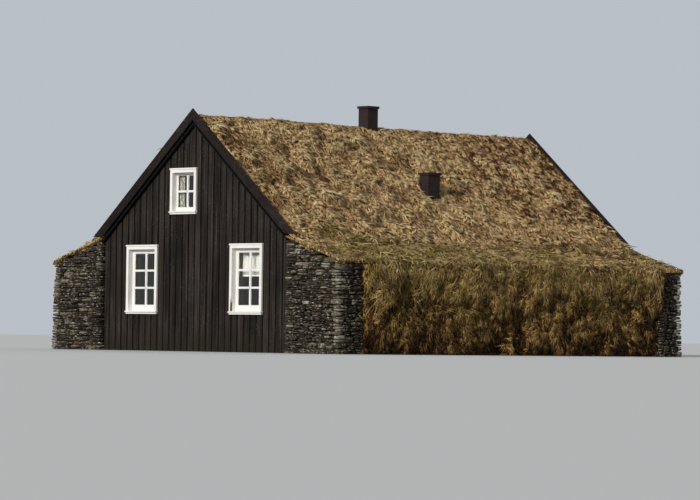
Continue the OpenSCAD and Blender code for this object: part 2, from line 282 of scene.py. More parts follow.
def ramp(tree, value, *stops):
    """A colour ramp with the stops (place, colour)."""
    made = add(tree, "ValToRGB", {"Fac": value})
    there = made.color_ramp.elements
    for index, (place, colour) in enumerate(stops):
        stop = there[index] if index < len(there) else there.new(place)
        stop.position, stop.color = place, colour
    return made.outputs["Color"]


def rgb(r, g, b):
    """A colour as it looks on a screen, 0 to 255, as the linear one that nodes take."""
    return tuple((c / 255) ** 2.2 for c in (r, g, b)) + (1.0,)


def bump(tree, height, strength, distance, under=None):
    """A Bump node's normal."""
    inputs = {"Height": height, "Strength": strength, "Distance": distance}
    if under:
        inputs["Normal"] = under
    return add(tree, "Bump", inputs).outputs[0]


# %% Helpers for groups and materials
def new_group(name, inputs, outputs):
    """A shader node group with named inputs (kind, value) and outputs (kind)."""
    tree = bpy.data.node_groups.new(name, "ShaderNodeTree")
    for label, (kind, value) in inputs.items():
        socket = tree.interface.new_socket(label, in_out="INPUT", socket_type="NodeSocket" + kind)
        socket.default_value = value
    for label, kind in outputs.items():
        tree.interface.new_socket(label, in_out="OUTPUT", socket_type="NodeSocket" + kind)
    print("group", name, "takes", list(inputs), "and gives", list(outputs))
    return tree, tree.nodes.new("NodeGroupInput").outputs, tree.nodes.new("NodeGroupOutput").inputs


def place_group(tree, group, **inputs):
    """Places a group; an input's words are joined by underscores."""
    made = tree.nodes.new("ShaderNodeGroup")
    made.node_tree = group
    for name, value in inputs.items():
        socket = made.inputs[name.replace("_", " ")]
        if isinstance(value, bpy.types.NodeSocket):
            tree.links.new(value, socket)
        else:
            socket.default_value = value
    return made.outputs


def new_material(name):
    """An empty material, its tree, its Principled shader and the Object coordinates."""
    made = bpy.data.materials.new(name)
    made.use_nodes = True
    tree = made.node_tree
    tree.nodes.clear()
    shader = add(tree, "BsdfPrincipled")
    add(tree, "OutputMaterial", {"Surface": shader.outputs[0]})
    print("material", name)
    return made, tree, shader, add(tree, "TexCoord").outputs["Object"]


def coat(tree, shader, colour, rough, normal=None, specular=0.5):
    """Gives the Principled shader its values, each a number, a colour or a socket."""
    values = {"Base Color": colour, "Roughness": rough, "Normal": normal, "Specular IOR Level": specular}
    for label, value in values.items():
        if isinstance(value, bpy.types.NodeSocket):
            tree.links.new(value, shader.inputs[label])
        elif value is not None:
            shader.inputs[label].default_value = value


# %% [markdown]
# Weathering
#
# Rain and wind never wear a wall evenly. Broad cloudy patches show where it dries late,
# and a fine mottle lies over everything. A painted picture could show that, but it would
# repeat on a wall this long. Two scales of noise give both, without a picture and without
# an end, and the wall's foot is damper: a mask fades in near the ground.

# %% The weathering group
weathering, gin, gout = new_group(
    "weathering",
    {"Patch size": ("Float", 0.8), "Mottle size": ("Float", 0.05)},
    {"Patches": "Float", "Mottle": "Float", "Damp": "Float"})
at = add(weathering, "TexCoord").outputs["Object"]
for size, label, detail in (("Patch size", "Patches", 4.0), ("Mottle size", "Mottle", 6.0)):
    cloud = noise_of(weathering, at, math_of(weathering, "DIVIDE", 1.0, gin[size]), detail)
    weathering.links.new(remap(weathering, cloud, 0.3, 0.7), gout[label])
rise = math_of(weathering, "MULTIPLY_ADD", noise_of(weathering, at, 3.0, 5.0), 0.5, -0.1)
above = math_of(weathering, "SUBTRACT", parts_of(weathering, at)["Z"], rise)
weathering.links.new(remap(weathering, above, 0.45, 0.0), gout["Damp"])

# %% [markdown]
# Grain
#
# Sawn boards show long streaks with finer fibres between them. A photograph of wood looks
# right on one board and copied on the second. So the group takes a vector whose Z runs
# along the board, and squeezes noise across it. Each material turns its own coordinates
# that way, so one group serves the gables, the barge boards and the floors.

# %% The grain group
grain, gin, gout = new_group(
    "grain",
    {"Vector": ("Vector", (0, 0, 0)), "Width": ("Float", 0.012), "Stretch": ("Float", 30.0)},
    {"Streaks": "Float", "Fibres": "Float", "Height": "Float"})
part = parts_of(grain, gin["Vector"])
along = math_of(grain, "DIVIDE", part["Z"], gin["Stretch"])
squeezed = add(grain, "CombineXYZ", {"X": part["X"], "Y": part["Y"], "Z": along}).outputs[0]
streak = noise_of(grain, squeezed, math_of(grain, "DIVIDE", 0.4, gin["Width"]), 3.0, 0.4)
fibre = noise_of(grain, squeezed, math_of(grain, "DIVIDE", 2.0, gin["Width"]), 2.0)
streaks = remap(grain, streak, 0.35, 0.68)
grain.links.new(streaks, gout["Streaks"])
grain.links.new(fibre, gout["Fibres"])
grain.links.new(math_of(grain, "MULTIPLY_ADD", streaks, 0.6, fibre), gout["Height"])

# %% [markdown]
# Lichen
#
# Lichen grows in round crusts with ragged rims, a few centimetres across, and in colonies.
# Painting them by hand would take a day for each corner. Cell noise gives the discs, a
# broad noise says where a colony is, and a fine noise frays the rims.

# %% The lichen group
lichen, gin, gout = new_group(
    "lichen",
    {"Size": ("Float", 0.06), "Cover": ("Float", 0.3)},
    {"Mask": "Float"})
at = add(lichen, "TexCoord").outputs["Object"]
fray = noise_of(lichen, at, 45.0, 4.0)
crusts = add(lichen, "TexVoronoi", {"Vector": at, "Scale": math_of(lichen, "DIVIDE", 1.0, gin["Size"])},
             feature="F1").outputs["Distance"]
room = math_of(lichen, "MULTIPLY", noise_of(lichen, at, 2.2, 3.0), gin["Cover"])
disc = math_of(lichen, "MULTIPLY_ADD", fray, 0.5, crusts)
rim = math_of(lichen, "SUBTRACT", math_of(lichen, "MULTIPLY", room, 3.4), disc)
lichen.links.new(remap(lichen, rim, -0.05, 0.12), gout["Mask"])

# %% [markdown]
# Coordinates that lie on the slope
#
# The roof falls to both sides of the ridge. Each of its pieces could be unwrapped, but a
# few sums do it for all of them. Folding X over the ridge and turning X and Z by the pitch
# gives one set of coordinates for both slopes: X square to the slope, Z down along it.
# Barge boards, the boards under the turf and its combed sods all follow it.

# %% The slope group
slope, gin, gout = new_group("slope", {}, {"Vector": "Vector"})
part = parts_of(slope, add(slope, "TexCoord").outputs["Object"])
out_x = math_of(slope, "ABSOLUTE", part["X"])
across = math_of(slope, "ADD", math_of(slope, "MULTIPLY", out_x, math.sin(pitch)),
                 math_of(slope, "MULTIPLY", part["Z"], math.cos(pitch)))
down = math_of(slope, "SUBTRACT", math_of(slope, "MULTIPLY", out_x, math.cos(pitch)),
               math_of(slope, "MULTIPLY", part["Z"], math.sin(pitch)))
folded = add(slope, "CombineXYZ", {"X": across, "Y": part["Y"], "Z": down}).outputs[0]
slope.links.new(folded, gout["Vector"])

# %% [markdown]
# Tarred boards
#
# The gables are pine, tarred and left to the weather: nearly black, a little brown, with
# paler streaks where the tar has worn off along the grain. Each board took the tar in its
# own way. A material for each would do that, and one is enough when a random tone comes
# from the number of the board.

# %% The tar materials
boards_across = 30
board_pitch = 2 * body_half / boards_across


def board_tone(tree, across, width):
    """A random tone for each board, from its number across the wall or floor."""
    number = math_of(tree, "FLOOR", math_of(tree, "DIVIDE", across, width))
    return add(tree, "TexWhiteNoise", {1: number}, noise_dimensions="1D").outputs["Value"]


def tar_material(name, tones, wear, sloping=False, by_board=False):
    """Tarred wood between two tones, on boards that stand or run down the slope; by_board
    gives each its own tone, and wear bares their grain."""
    made, tree, shader, place = new_material(name)
    vector = place_group(tree, slope)["Vector"] if sloping else place
    fibres = place_group(tree, grain, Vector=vector, Width=0.016, Stretch=38.0)
    worn = place_group(tree, weathering, Patch_size=0.9, Mottle_size=0.06)
    tone = worn["Patches"]
    if by_board:
        tone = board_tone(tree, math_of(tree, "ADD", parts_of(tree, place)["X"], 9.0), board_pitch)
    colour = blend(tree, tone, *tones)
    streaky = remap(tree, math_of(tree, "MULTIPLY", fibres["Streaks"], fibres["Fibres"]), 0.12, 0.5)
    share = math_of(tree, "MULTIPLY", math_of(tree, "ADD", worn["Patches"], 0.24), wear)
    colour = blend(tree, math_of(tree, "MULTIPLY", streaky, share, clamp=True), colour, rgb(108, 100, 92))
    specks = remap(tree, noise_of(tree, vector, 42.0, 1.0), 0.68, 0.75, 0.0, 0.7)
    colour = blend(tree, math_of(tree, "MULTIPLY", specks, worn["Patches"]), colour, rgb(132, 124, 114))
    colour = blend(tree, math_of(tree, "MULTIPLY", worn["Damp"], 0.55), colour, rgb(40, 38, 28))
    coat(tree, shader, colour, remap(tree, fibres["Fibres"], first=0.62, last=0.92),
         bump(tree, fibres["Height"], 0.6, 0.004), 0.12)
    return made


tar_upright = tar_material("tarred boards, upright", (rgb(20, 17, 15), rgb(46, 41, 37)), 0.26, by_board=True)
# painted shade: this near-black tar stands for the shade in the grooves behind the outer boards and under the
# barge boards
tar_in_painted_shade = tar_material("tarred boards in painted shade", (rgb(7, 6, 6), rgb(13, 11, 10)), 0.06)
tar_slope = tar_material("tarred barge board", (rgb(27, 22, 21), rgb(36, 30, 29)), 0.05, sloping=True)

# %% [markdown]
# Bare wood
#
# Inside, the floors, joists, rafters and wall boards are plain sawn wood, seen only
# through the windows. Where the roof boards run out past the gables they are tarred near
# black, darker than the rest, as painted shade under the barge boards. Their faces could be
# parted between two materials, but the solid has no edge there, so one material changes to
# tar by its place along the house.

# %% The bare wood materials
def deeper_than(tree, place, depth):
    """1 where a point lies deeper in the house than depth behind either gable's face."""
    reach = math_of(tree, "ABSOLUTE", math_of(tree, "SUBTRACT", parts_of(tree, place)["Y"],
                                              (gable_front + gable_back) / 2))
    return math_of(tree, "LESS_THAN", reach, (gable_back - gable_front) / 2 - depth)


plank_w = 0.14
grain_orders = {"X": ("YZX", "Y"), "Y": ("XZY", "X"), "slope": ("XYZ", "Y")}


def wood_material(name, run):
    """Sawn planks that run along X, along Y or down the slope; the order of the axes puts
    the run last, and the letter after it is the axis that the planks are counted along."""
    made, tree, shader, place = new_material(name)
    part = parts_of(tree, place_group(tree, slope)["Vector"] if run == "slope" else place)
    order, counted = grain_orders[run]
    vector = add(tree, "CombineXYZ", {to: part[axis] for to, axis in zip("XYZ", order)}).outputs[0]
    fibres = place_group(tree, grain, Vector=vector, Width=0.02, Stretch=25.0)
    tone = board_tone(tree, part[counted], plank_w)
    colour = blend(tree, tone, rgb(104, 82, 58), rgb(132, 106, 76))
    colour = blend(tree, math_of(tree, "MULTIPLY", fibres["Streaks"], 0.5), colour, rgb(78, 58, 38))
    if run == "slope":
        # painted shade: the roof boards' ends past the gables are near black
        colour = blend(tree, deeper_than(tree, place, 0.02), rgb(11, 9, 8), colour)
    coat(tree, shader, colour, remap(tree, fibres["Fibres"], first=0.5, last=0.75),
         bump(tree, fibres["Height"], 0.4, 0.002), 0.15)
    return made


wood_along = wood_material("bare wood along the house", "Y")
wood_across = wood_material("bare wood across the house", "X")
wood_deck = wood_material("roof boards", "slope")

# %% [markdown]
# White paint
#
# The window frames are painted a slightly warm white. Brush marks follow the wood, the
# paint has gone a little grey where water runs, and fine dirt sits in the mottle. Behind
# the sashes the boards of the opening are a dull brown, which is painted shade. At one
# corner rain has stood on the sill and the paint is gone in a narrow wedge: a mask drawn
# by distance from the corner, with a little noise for its ragged edge.

# %% The paint materials
def bare_wedge(tree, place):
    """1 where the paint is gone from the foot of a casing board of the front right window."""
    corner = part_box("front_right_window_casing")[0] + Vector((0.075, 0.0, 0.075))
    spot = parts_of(tree, place)
    half_width = remap(tree, spot["Z"], corner.z + 0.02, corner.z + 0.42, 0.03, 0.0)
    ragged = math_of(tree, "MULTIPLY", noise_of(tree, place, 45.0, 2.0), 0.008)
    aside = math_of(tree, "ABSOLUTE", math_of(tree, "SUBTRACT", spot["X"], corner.x))
    bare = math_of(tree, "LESS_THAN", math_of(tree, "ADD", aside, ragged), half_width)
    bare = math_of(tree, "MULTIPLY", bare, math_of(tree, "GREATER_THAN", spot["Z"], corner.z))
    return math_of(tree, "MULTIPLY", bare, math_of(tree, "LESS_THAN", spot["Y"], gable_front - 0.02))


def paint_material(name, shaded_inside_bare_wedge=False):
    """White paint; the flag makes the boards on the room's side of the sashes dull brown as painted shade,
    and wears a wedge bare at one window.
    """
    made, tree, shader, place = new_material(name)
    fibres = place_group(tree, grain, Vector=place, Width=0.01, Stretch=20.0)
    worn = place_group(tree, weathering, Patch_size=0.35, Mottle_size=0.02)
    colour = blend(tree, worn["Patches"], rgb(242, 241, 237), rgb(230, 229, 223))
    colour = blend(tree, remap(tree, worn["Mottle"], 0.62, 1.0, 0.0, 0.4), colour, rgb(176, 171, 160))
    if shaded_inside_bare_wedge:
        # painted shade: dull brown behind the sashes
        colour = blend(tree, deeper_than(tree, place, 0.13), colour, rgb(88, 78, 66))
        colour = blend(tree, bare_wedge(tree, place), colour, rgb(56, 50, 42))
    coat(tree, shader, colour, remap(tree, fibres["Fibres"], first=0.38, last=0.6),
         bump(tree, fibres["Height"], 0.25, 0.0015))
    return made


white_paint = paint_material("white paint")
casing_paint = paint_material("white paint, shaded inside, bare wedge", shaded_inside_bare_wedge=True)

# %% [markdown]
# Window glass
#
# Old panes are clear but not flat, so reflections bend in them. Real waves in the mesh
# would need many faces, so the glass keeps a plain transmission, a little grey with age,
# and a broad shallow bump for the waves. A ray that only asks for shadow passes straight
# through, so that the rooms get their daylight without a long wait for clean light.

# %% The glass material
glass, tree, shader, place = new_material("window glass")
waves = noise_of(tree, place, 6.0, 1.0)
coat(tree, shader, rgb(233, 233, 231), 0.02, bump(tree, waves, 0.04, 0.01))
shader.inputs["Transmission Weight"].default_value = 1.0
shader.inputs["IOR"].default_value = 1.42
shade = add(tree, "LightPath").outputs["Is Shadow Ray"]
clear = add(tree, "BsdfTransparent").outputs[0]
pane = add(tree, "MixShader", {0: shade, 1: shader.outputs[0], 2: clear}).outputs[0]
tree.links.new(pane, tree.nodes["Material Output"].inputs["Surface"])

# %% [markdown]
# Black chimneys
#
# The chimneys are narrow square boxes under a flat cap, all black. Their coat is matt and
# slightly chalky, brownish where soot and rust have settled. The weathering group, made
# small, gives all of that, so nothing new has to be built for them.

# %% The chimney material
chimney_black, tree, shader, place = new_material("chimney black")
worn = place_group(tree, weathering, Patch_size=0.25, Mottle_size=0.03)
colour = blend(tree, worn["Patches"], rgb(32, 28, 29), rgb(50, 43, 44))
colour = blend(tree, math_of(tree, "MULTIPLY", worn["Mottle"], 0.25), colour, rgb(78, 62, 54))
coat(tree, shader, colour, remap(tree, worn["Mottle"], first=0.5, last=0.8),
     bump(tree, worn["Mottle"], 0.3, 0.002), 0.15)

# %% [markdown]
# Field stone
#
# The corners are laid dry from thin slabs of dark basalt. Each stone has its own tone, and
# the stones of the outer faces get a darker one as painted shade. A joined mesh can't ask
# which stone it shades, so the tone is an attribute on the points. All stones share the
# mottle and dark clefts, pale flecks that lie flat like the slabs as painted highlights on
# their edges, the pale grey lichen and the yellow green one. Behind the joints lies rubble,
# near black as painted shade, which needs no more than a mottle.

# %% The stone materials
field_stone, tree, shader, place = new_material("field stone")
look = add(tree, "Attribute", attribute_name="stone_look").outputs["Color"]
part = add(tree, "SeparateColor", {0: look}).outputs
worn = place_group(tree, weathering, Patch_size=0.18, Mottle_size=0.022)
colour = ramp(tree, part["Red"], (0.0, rgb(38, 34, 28)), (0.45, rgb(82, 74, 60)), (0.75, rgb(126, 116, 97)),
              (1.0, rgb(206, 199, 180)))
ochre = math_of(tree, "GREATER_THAN", part["Green"], 0.985)
colour = blend(tree, math_of(tree, "MULTIPLY", ochre, 0.5), colour, rgb(140, 108, 70))
colour = blend(tree, remap(tree, part["Green"], 0.1, 0.9, 0.0, 0.5), colour, rgb(64, 52, 44))
colour = blend(tree, math_of(tree, "MULTIPLY", worn["Mottle"], 0.6), colour, rgb(34, 31, 27))
grey_crust = place_group(tree, lichen, Size=0.07, Cover=0.3)["Mask"]
grown = math_of(tree, "MULTIPLY", grey_crust, remap(tree, part["Blue"], 0.4, 1.0))
colour = blend(tree, math_of(tree, "MULTIPLY", grown, 0.8), colour, rgb(170, 166, 150))
green_crust = place_group(tree, lichen, Size=0.13, Cover=0.24)["Mask"]
colour = blend(tree, math_of(tree, "MULTIPLY", green_crust, 0.6), colour, rgb(96, 98, 52))
flat = add(tree, "Mapping", {"Vector": place, "Scale": (0.55, 0.55, 1.5)}).outputs[0]
broken = noise_of(tree, flat, 24.0, 4.0)
colour = blend(tree, remap(tree, broken, 0.46, 0.36, 0.0, 0.85), colour, rgb(12, 11, 9))
# painted highlights: pale flecks drawn out flat like the slabs, where their edges would catch the light
flecks_as_highlights = math_of(tree, "MULTIPLY", remap(tree, broken, 0.58, 0.63, 0.0, 0.9), worn["Patches"])
colour = blend(tree, flecks_as_highlights, colour, rgb(184, 180, 164))
coarse = bump(tree, worn["Patches"], 0.5, 0.012)
coat(tree, shader, colour, 0.9, bump(tree, noise_of(tree, place, 28.0, 8.0), 0.7, 0.008, coarse), 0.2)

shaded_heart, tree, shader, place = new_material("heart of the corner in painted shade")
worn = place_group(tree, weathering, Patch_size=0.2, Mottle_size=0.03)
# painted shade: near black, so the joints in front of it look shaded
colour = blend(tree, worn["Mottle"], rgb(20, 17, 14), rgb(38, 32, 25))
coat(tree, shader, colour, 1.0, bump(tree, worn["Mottle"], 1.0, 0.02))

# %% [markdown]
# The colours of turf
#
# Dead grass bleaches from the tip: straw on top, brown at the root, with patches that are
# still olive. One group mixes these. It takes a tone, how near the tip a point is, and how
# green a blade is, so that the blades and the sod under them share their patches.

# %% The turf group
turf, gin, gout = new_group(
    "turf",
    {"Tone": ("Float", 0.5), "Tip": ("Float", 0.5), "Green": ("Float", 0.5),
     "Root colour": ("Color", rgb(48, 36, 22)), "Straw": ("Color", rgb(170, 138, 92)),
     "Bleached": ("Color", rgb(216, 190, 142)), "Rust": ("Color", rgb(130, 88, 52)),
     "Olive": ("Color", rgb(98, 94, 48)), "Green share": ("Float", 0.3),
     "Patch size": ("Float", 0.9)},
    {"Color": "Color"})
at = add(turf, "TexCoord").outputs["Object"]
scale = math_of(turf, "DIVIDE", 1.0, gin["Patch size"])
shifted = add(turf, "VectorMath", {0: at, 1: (17.0, 5.0, 9.0)}).outputs[0]
rusty = remap(turf, noise_of(turf, shifted, math_of(turf, "MULTIPLY", scale, 2.1), 3.0), 0.48, 0.68, 0.0, 0.5)
dull = remap(turf, gin["Tone"], 0.45, 0.05)
straw = blend(turf, gin["Tone"], gin["Straw"], gin["Bleached"])
dry = blend(turf, rusty, blend(turf, dull, straw, gin["Rust"]), gin["Rust"])
chance = math_of(turf, "MULTIPLY_ADD", gin["Green"], 0.3, noise_of(turf, at, scale, 3.0))
limit = math_of(turf, "SUBTRACT", 0.95, math_of(turf, "MULTIPLY", gin["Green share"], 0.55))
greenness = math_of(turf, "MULTIPLY", math_of(turf, "SUBTRACT", chance, limit), 7.0, clamp=True)
body = blend(turf, greenness, dry, gin["Olive"])
tip_share = math_of(turf, "POWER", gin["Tip"], 0.5)
turf.links.new(blend(turf, tip_share, gin["Root colour"], body), gout["Color"])

# %% [markdown]
# Four kinds of turf
#
# The roof is dry and tan, the flank walls darker and browner, most of all towards the
# foot, and each cap has its own share of green. A kind is one list of colours, from which
# two materials are made: one for the blades, which reads the marks on their points, and
# one for the sod under them, which gets its strands from noise drawn out down the slope.

# %% Turf materials for the blades and for the sods
turf_looks = {
    "roof": dict(Straw=rgb(252, 184, 112), Bleached=rgb(255, 226, 168), Rust=rgb(88, 48, 25),
                 Olive=rgb(140, 119, 60), Root_colour=rgb(34, 21, 12), Green_share=0.16, Patch_size=1.1),
    "wall": dict(Straw=rgb(150, 108, 56), Bleached=rgb(238, 200, 122), Rust=rgb(72, 46, 22),
                 Olive=rgb(120, 104, 46), Root_colour=rgb(22, 15, 7), Green_share=0.34, Patch_size=0.7),
    "right cap": dict(Straw=rgb(220, 166, 94), Bleached=rgb(250, 222, 156), Rust=rgb(102, 68, 36),
                      Olive=rgb(156, 142, 68), Root_colour=rgb(38, 27, 12), Green_share=0.4, Patch_size=0.8),
    "left cap": dict(Straw=rgb(218, 166, 100), Bleached=rgb(255, 228, 164), Rust=rgb(116, 76, 40),
                     Olive=rgb(136, 118, 58), Root_colour=rgb(42, 30, 15), Green_share=0.22, Patch_size=0.8),
}


def turf_colour(tree, region, place, **marks):
    """The turf group with a kind's colours; a wall's turf is darker and browner at its foot."""
    colour = place_group(tree, turf, **marks, **turf_looks[region])["Color"]
    if region != "wall":
        return colour
    up = remap(tree, parts_of(tree, place)["Z"], 0.3, 1.7)
    return blend(tree, 1.0, colour, blend(tree, up, rgb(217, 205, 203), rgb(255, 255, 255)), way="MULTIPLY")


def blade_material(region):
    """Blades take their tone, their tip and their green from the marks on their points."""
    made, tree, shader, place = new_material(region + " grass")
    look = add(tree, "Attribute", attribute_name="blade").outputs["Color"]
    part = add(tree, "SeparateColor", {0: look}).outputs
    colour = turf_colour(tree, region, place, Tone=part["Red"], Tip=part["Green"], Green=part["Blue"])
    coat(tree, shader, colour, 0.72, specular=0.25)
    return made


def sod_material(region):
    """Matted strands, with hollows between the tufts."""
    made, tree, shader, place = new_material(region + " sod")
    lie = place_group(tree, slope)["Vector"] if region == "roof" else place
    combed = add(tree, "Mapping", {"Vector": lie, "Scale": (1.0, 1.0, 0.3)}).outputs[0]
    crisp = remap(tree, noise_of(tree, combed, 34.0, 4.0, 0.6), 0.36, 0.66)
    clump = noise_of(tree, lie, 7.0, 3.0)
    tall = math_of(tree, "MULTIPLY_ADD", remap(tree, clump, 0.4, 0.62), 0.5, 0.34)
    tip = math_of(tree, "MULTIPLY", crisp, tall, clamp=True)
    colour = turf_colour(tree, region, lie, Tone=crisp, Tip=tip, Green=clump)
    knolls = bump(tree, noise_of(tree, combed, 11.0, 2.0), 1.0, 0.12)
    coat(tree, shader, colour, 0.95, bump(tree, crisp, 0.9, 0.03, knolls), 0.1)
    return made


blades = {region: blade_material(region) for region in turf_looks}
sods = {region: sod_material(region) for region in turf_looks}

# %% [markdown]
# Boarded gables
#
# A gable here has two layers: wide backing boards, and outer boards nailed over their
# joints with a groove left between, whose tar is near black as painted shade. A bump could
# draw the grooves, but a lamp from the side needs real edges to throw a shadow. So one outer
# board is modelled and copied thirty times, a little different each time. The copies stand
# as tall as the ridge and are then cut to the gable's outline and its windows by an
# intersection with the gable itself.

# %% The backing of each gable
board_t = 0.025
gables = (("front", gable_front, 1), ("back", gable_back, -1))


def backing(gable, face_y, inward):
    """The gable without its outer boards: its face moves in by their thickness, and its near-black tar is
    painted shade for the grooves.
    """
    node = gable + "_gable_wall"
    made = merged_copy(node, gable + "_gable_backing")
    made.data.materials.append(tar_in_painted_shade)
    made.data.materials.append(wood_across)
    edit(made)
    pick_faces(made, lambda at, n: abs(at.y - face_y) < 0.001 and n.y * inward < -0.9)
    bpy.ops.transform.translate(value=(0, inward * board_t, 0))
    bpy.ops.mesh.select_all(action="DESELECT")
    pick_faces(made, lambda at, n: n.y * inward > 0.9)
    made.active_material_index = 1
    bpy.ops.object.material_slot_assign()
    bpy.ops.object.mode_set(mode="OBJECT")
    return keep(made, None, "tarred_boards", node)


for gable in gables:
    backing(*gable)

# %% One board
board_w = 0.161
board_low, board_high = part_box("front_gable_wall")
cut_heights = (1.1, 2.3, 3.4, 4.4)


def upright_board(face_y, inward):
    """A board as tall as the gable, its outer edges broken, cut across so that it can bend."""
    y0, y1 = sorted((face_y, face_y + inward * board_t))
    made = block("board", (-board_w / 2, y0, board_low.z - 0.01), (board_w / 2, y1, board_high.z + 0.05))
    edit(made, "EDGE")
    pick_edges(made, lambda a, b: abs(a.z - b.z) > 1 and abs(a.y - face_y) < 0.001)
    bpy.ops.mesh.bevel(offset=0.005, segments=1)
    for height in cut_heights:
        bpy.ops.mesh.select_all(action="SELECT")
        bpy.ops.mesh.bisect(plane_co=(0, 0, height), plane_no=(0, 0, 1))
    bpy.ops.object.mode_set(mode="OBJECT")
    return made


# %% A gable of boards
rng = random.Random(11)
board_slack, level_h, top_level = 0.004, 1.1, 5


def gable_boards(gable, face_y, inward):
    """Upright boards in front of a gable, each with its own width and bend, cut to its outline."""
    first = upright_board(face_y, inward)
    copies = []
    for number in range(boards_across):
        board = twin(first, "board")
        bend = [rng.uniform(-board_slack, board_slack) for level in range(top_level + 1)]
        middle = -body_half + (number + 0.5) * board_pitch + rng.uniform(-board_slack, board_slack)
        width = rng.uniform(0.95, 1.05)
        sink = inward * rng.uniform(0.0, board_slack)
        for point in board.data.vertices:
            level = min(top_level, int(point.co.z / level_h))
            point.co.x = point.co.x * width + middle + bend[level]
            if abs(point.co.y - face_y) < 2 * board_slack:
                point.co.y += sink
        copies.append(board)
    drop(first)
    made = join(copies, gable + "_gable_boards")
    cutter = merged_copy(gable + "_gable_wall", "cutter")
    modify(made, "BOOLEAN", operation="INTERSECT", object=cutter, solver="EXACT")
    drop(cutter)
    return keep(made, tar_upright, "tarred_boards")


for gable in gables:
    gable_boards(*gable)

# %% [markdown]
# Glazing bars
#
# A sash of this kind is parted into small panes by slim bars, which are chamfered on the
# outside where the putty lies. A wireframe of a grid would give bars too, but not with a
# chamfer on one side only. So each bar is a block whose outer edges are bevelled, in one
# lattice in front of the glass and a plainer one behind it. Their places come from the
# sash's own box.

# %% Bars of each window
bar_w = 0.050
glass_depth, glass_t = 0.016, 0.004
outer_chamfer, inner_chamfer = 0.011, 0.006
windows = [end + "_" + word + "_window" for end in ("front", "back") for word in ("left", "right", "loft")]


def pane_field(window):
    """The field between the stiles and rails of a sash: x0, x1, z0, z1."""
    stile, top_rail, bottom_rail = (0.035, 0.055, 0.080) if "loft" in window else (0.060, 0.090, 0.130)
    low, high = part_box(window + "_sash")
    return low.x + stile, high.x - stile, low.z + bottom_rail, high.z - top_rail


def sash_faces(window):
    """The Y of a sash's outer face, of its glass and of its inner face, and the sign of Y outwards."""
    low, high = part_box(window + "_sash")
    outward = -1 if window.startswith("front") else 1
    outer_y, inner_y = (low.y, high.y) if outward < 0 else (high.y, low.y)
    return outer_y, outer_y - outward * glass_depth, inner_y, outward


def bar(low, high, face_y, chamfer):
    """A bar with chamfered edges along its outer face."""
    made = block("bar", low, high)
    size = Vector(high) - Vector(low)
    long_axis = 2 if size.z > size.x else 0
    edit(made, "EDGE")
    pick_edges(made, lambda a, b: abs(a.y - face_y) < 0.0005 and abs(b.y - face_y) < 0.0005
               and abs(a[long_axis] - b[long_axis]) > 0.5 * size[long_axis])
    bpy.ops.mesh.bevel(offset=chamfer, segments=2)
    bpy.ops.object.mode_set(mode="OBJECT")
    return made


def window_bars(window, columns, rows):
    """The glazing bars of a sash, outside and inside its glass."""
    outer_y, glass_y, inner_y, outward = sash_faces(window)
    behind_y = glass_y - outward * glass_t
    x0, x1, z0, z1 = pane_field(window)
    parts = []
    for face_y, back_y, chamfer in ((outer_y, glass_y, outer_chamfer), (inner_y, behind_y, inner_chamfer)):
        y0, y1 = sorted((face_y, back_y))
        for column in range(1, columns):
            x = x0 + (x1 - x0) * column / columns
            parts.append(bar((x - bar_w / 2, y0, z0), (x + bar_w / 2, y1, z1), face_y, chamfer))
        for row in range(1, rows):
            z = z0 + (z1 - z0) * row / rows
            parts.append(bar((x0, y0, z - bar_w / 2), (x1, y1, z + bar_w / 2), face_y, chamfer))
    return keep(join(parts, window + "_bars"), white_paint, "white_paint")


for window in windows:
    window_bars(window, 2, 2 if "loft" in window else 3)

# %% [markdown]
# Putty
#
# The glass lies in a rebate and is held by putty, struck off at a slant. Four wedges would
# have to be mitred at the corners. A frame from one block has its mitres from the start:
# both faces are inset, the two insets are bridged into an opening, and the inner rim of the
# outer face is then pushed back almost to the glass.

# %% Putty round the glass
putty_in, putty_reach, putty_w, putty_edge = 0.002, 0.0095, 0.018, 0.001


def putty(window):
    """A triangular fillet in the rebate, all round the glass."""
    outer_y, glass_y, inner_y, outward = sash_faces(window)
    y0, y1 = sorted((outer_y - outward * putty_in, glass_y))
    x0, x1, z0, z1 = pane_field(window)
    made = block(window + "_putty", (x0 - putty_reach, y0, z0 - putty_reach),
                 (x1 + putty_reach, y1, z1 + putty_reach))
    edit(made)
    pick_faces(made, lambda at, n: abs(n.y) > 0.9)
    bpy.ops.mesh.inset(thickness=putty_w, use_individual=True)
    bpy.ops.mesh.bridge_edge_loops()
    bpy.ops.mesh.select_all(action="DESELECT")
    bpy.ops.mesh.select_mode(type="VERT")
    cage = bmesh.from_edit_mesh(made.data)
    rim_x = x0 - putty_reach + putty_w
    for point in cage.verts:
        inner = abs(point.co.x - rim_x) < 0.001 or abs(point.co.x - (x0 + x1 - rim_x)) < 0.001
        if inner and abs(point.co.y - glass_y) > 0.005:
            point.select_set(True)
    bmesh.update_edit_mesh(made.data)
    bpy.ops.transform.translate(value=(0, -outward * (y1 - y0 - putty_edge), 0))
    bpy.ops.object.mode_set(mode="OBJECT")
    return keep(made, white_paint, "white_paint")


for window in windows:
    putty(window)

# %% [markdown]
# Cotton
#
# Two windows show cloth behind the glass. Plain cotton is a weave: threads over and under
# each other both ways. Two wave textures multiplied give that, in the colour and as a fine
# bump, and a broad weathering patch keeps a large cloth from being one flat tone.

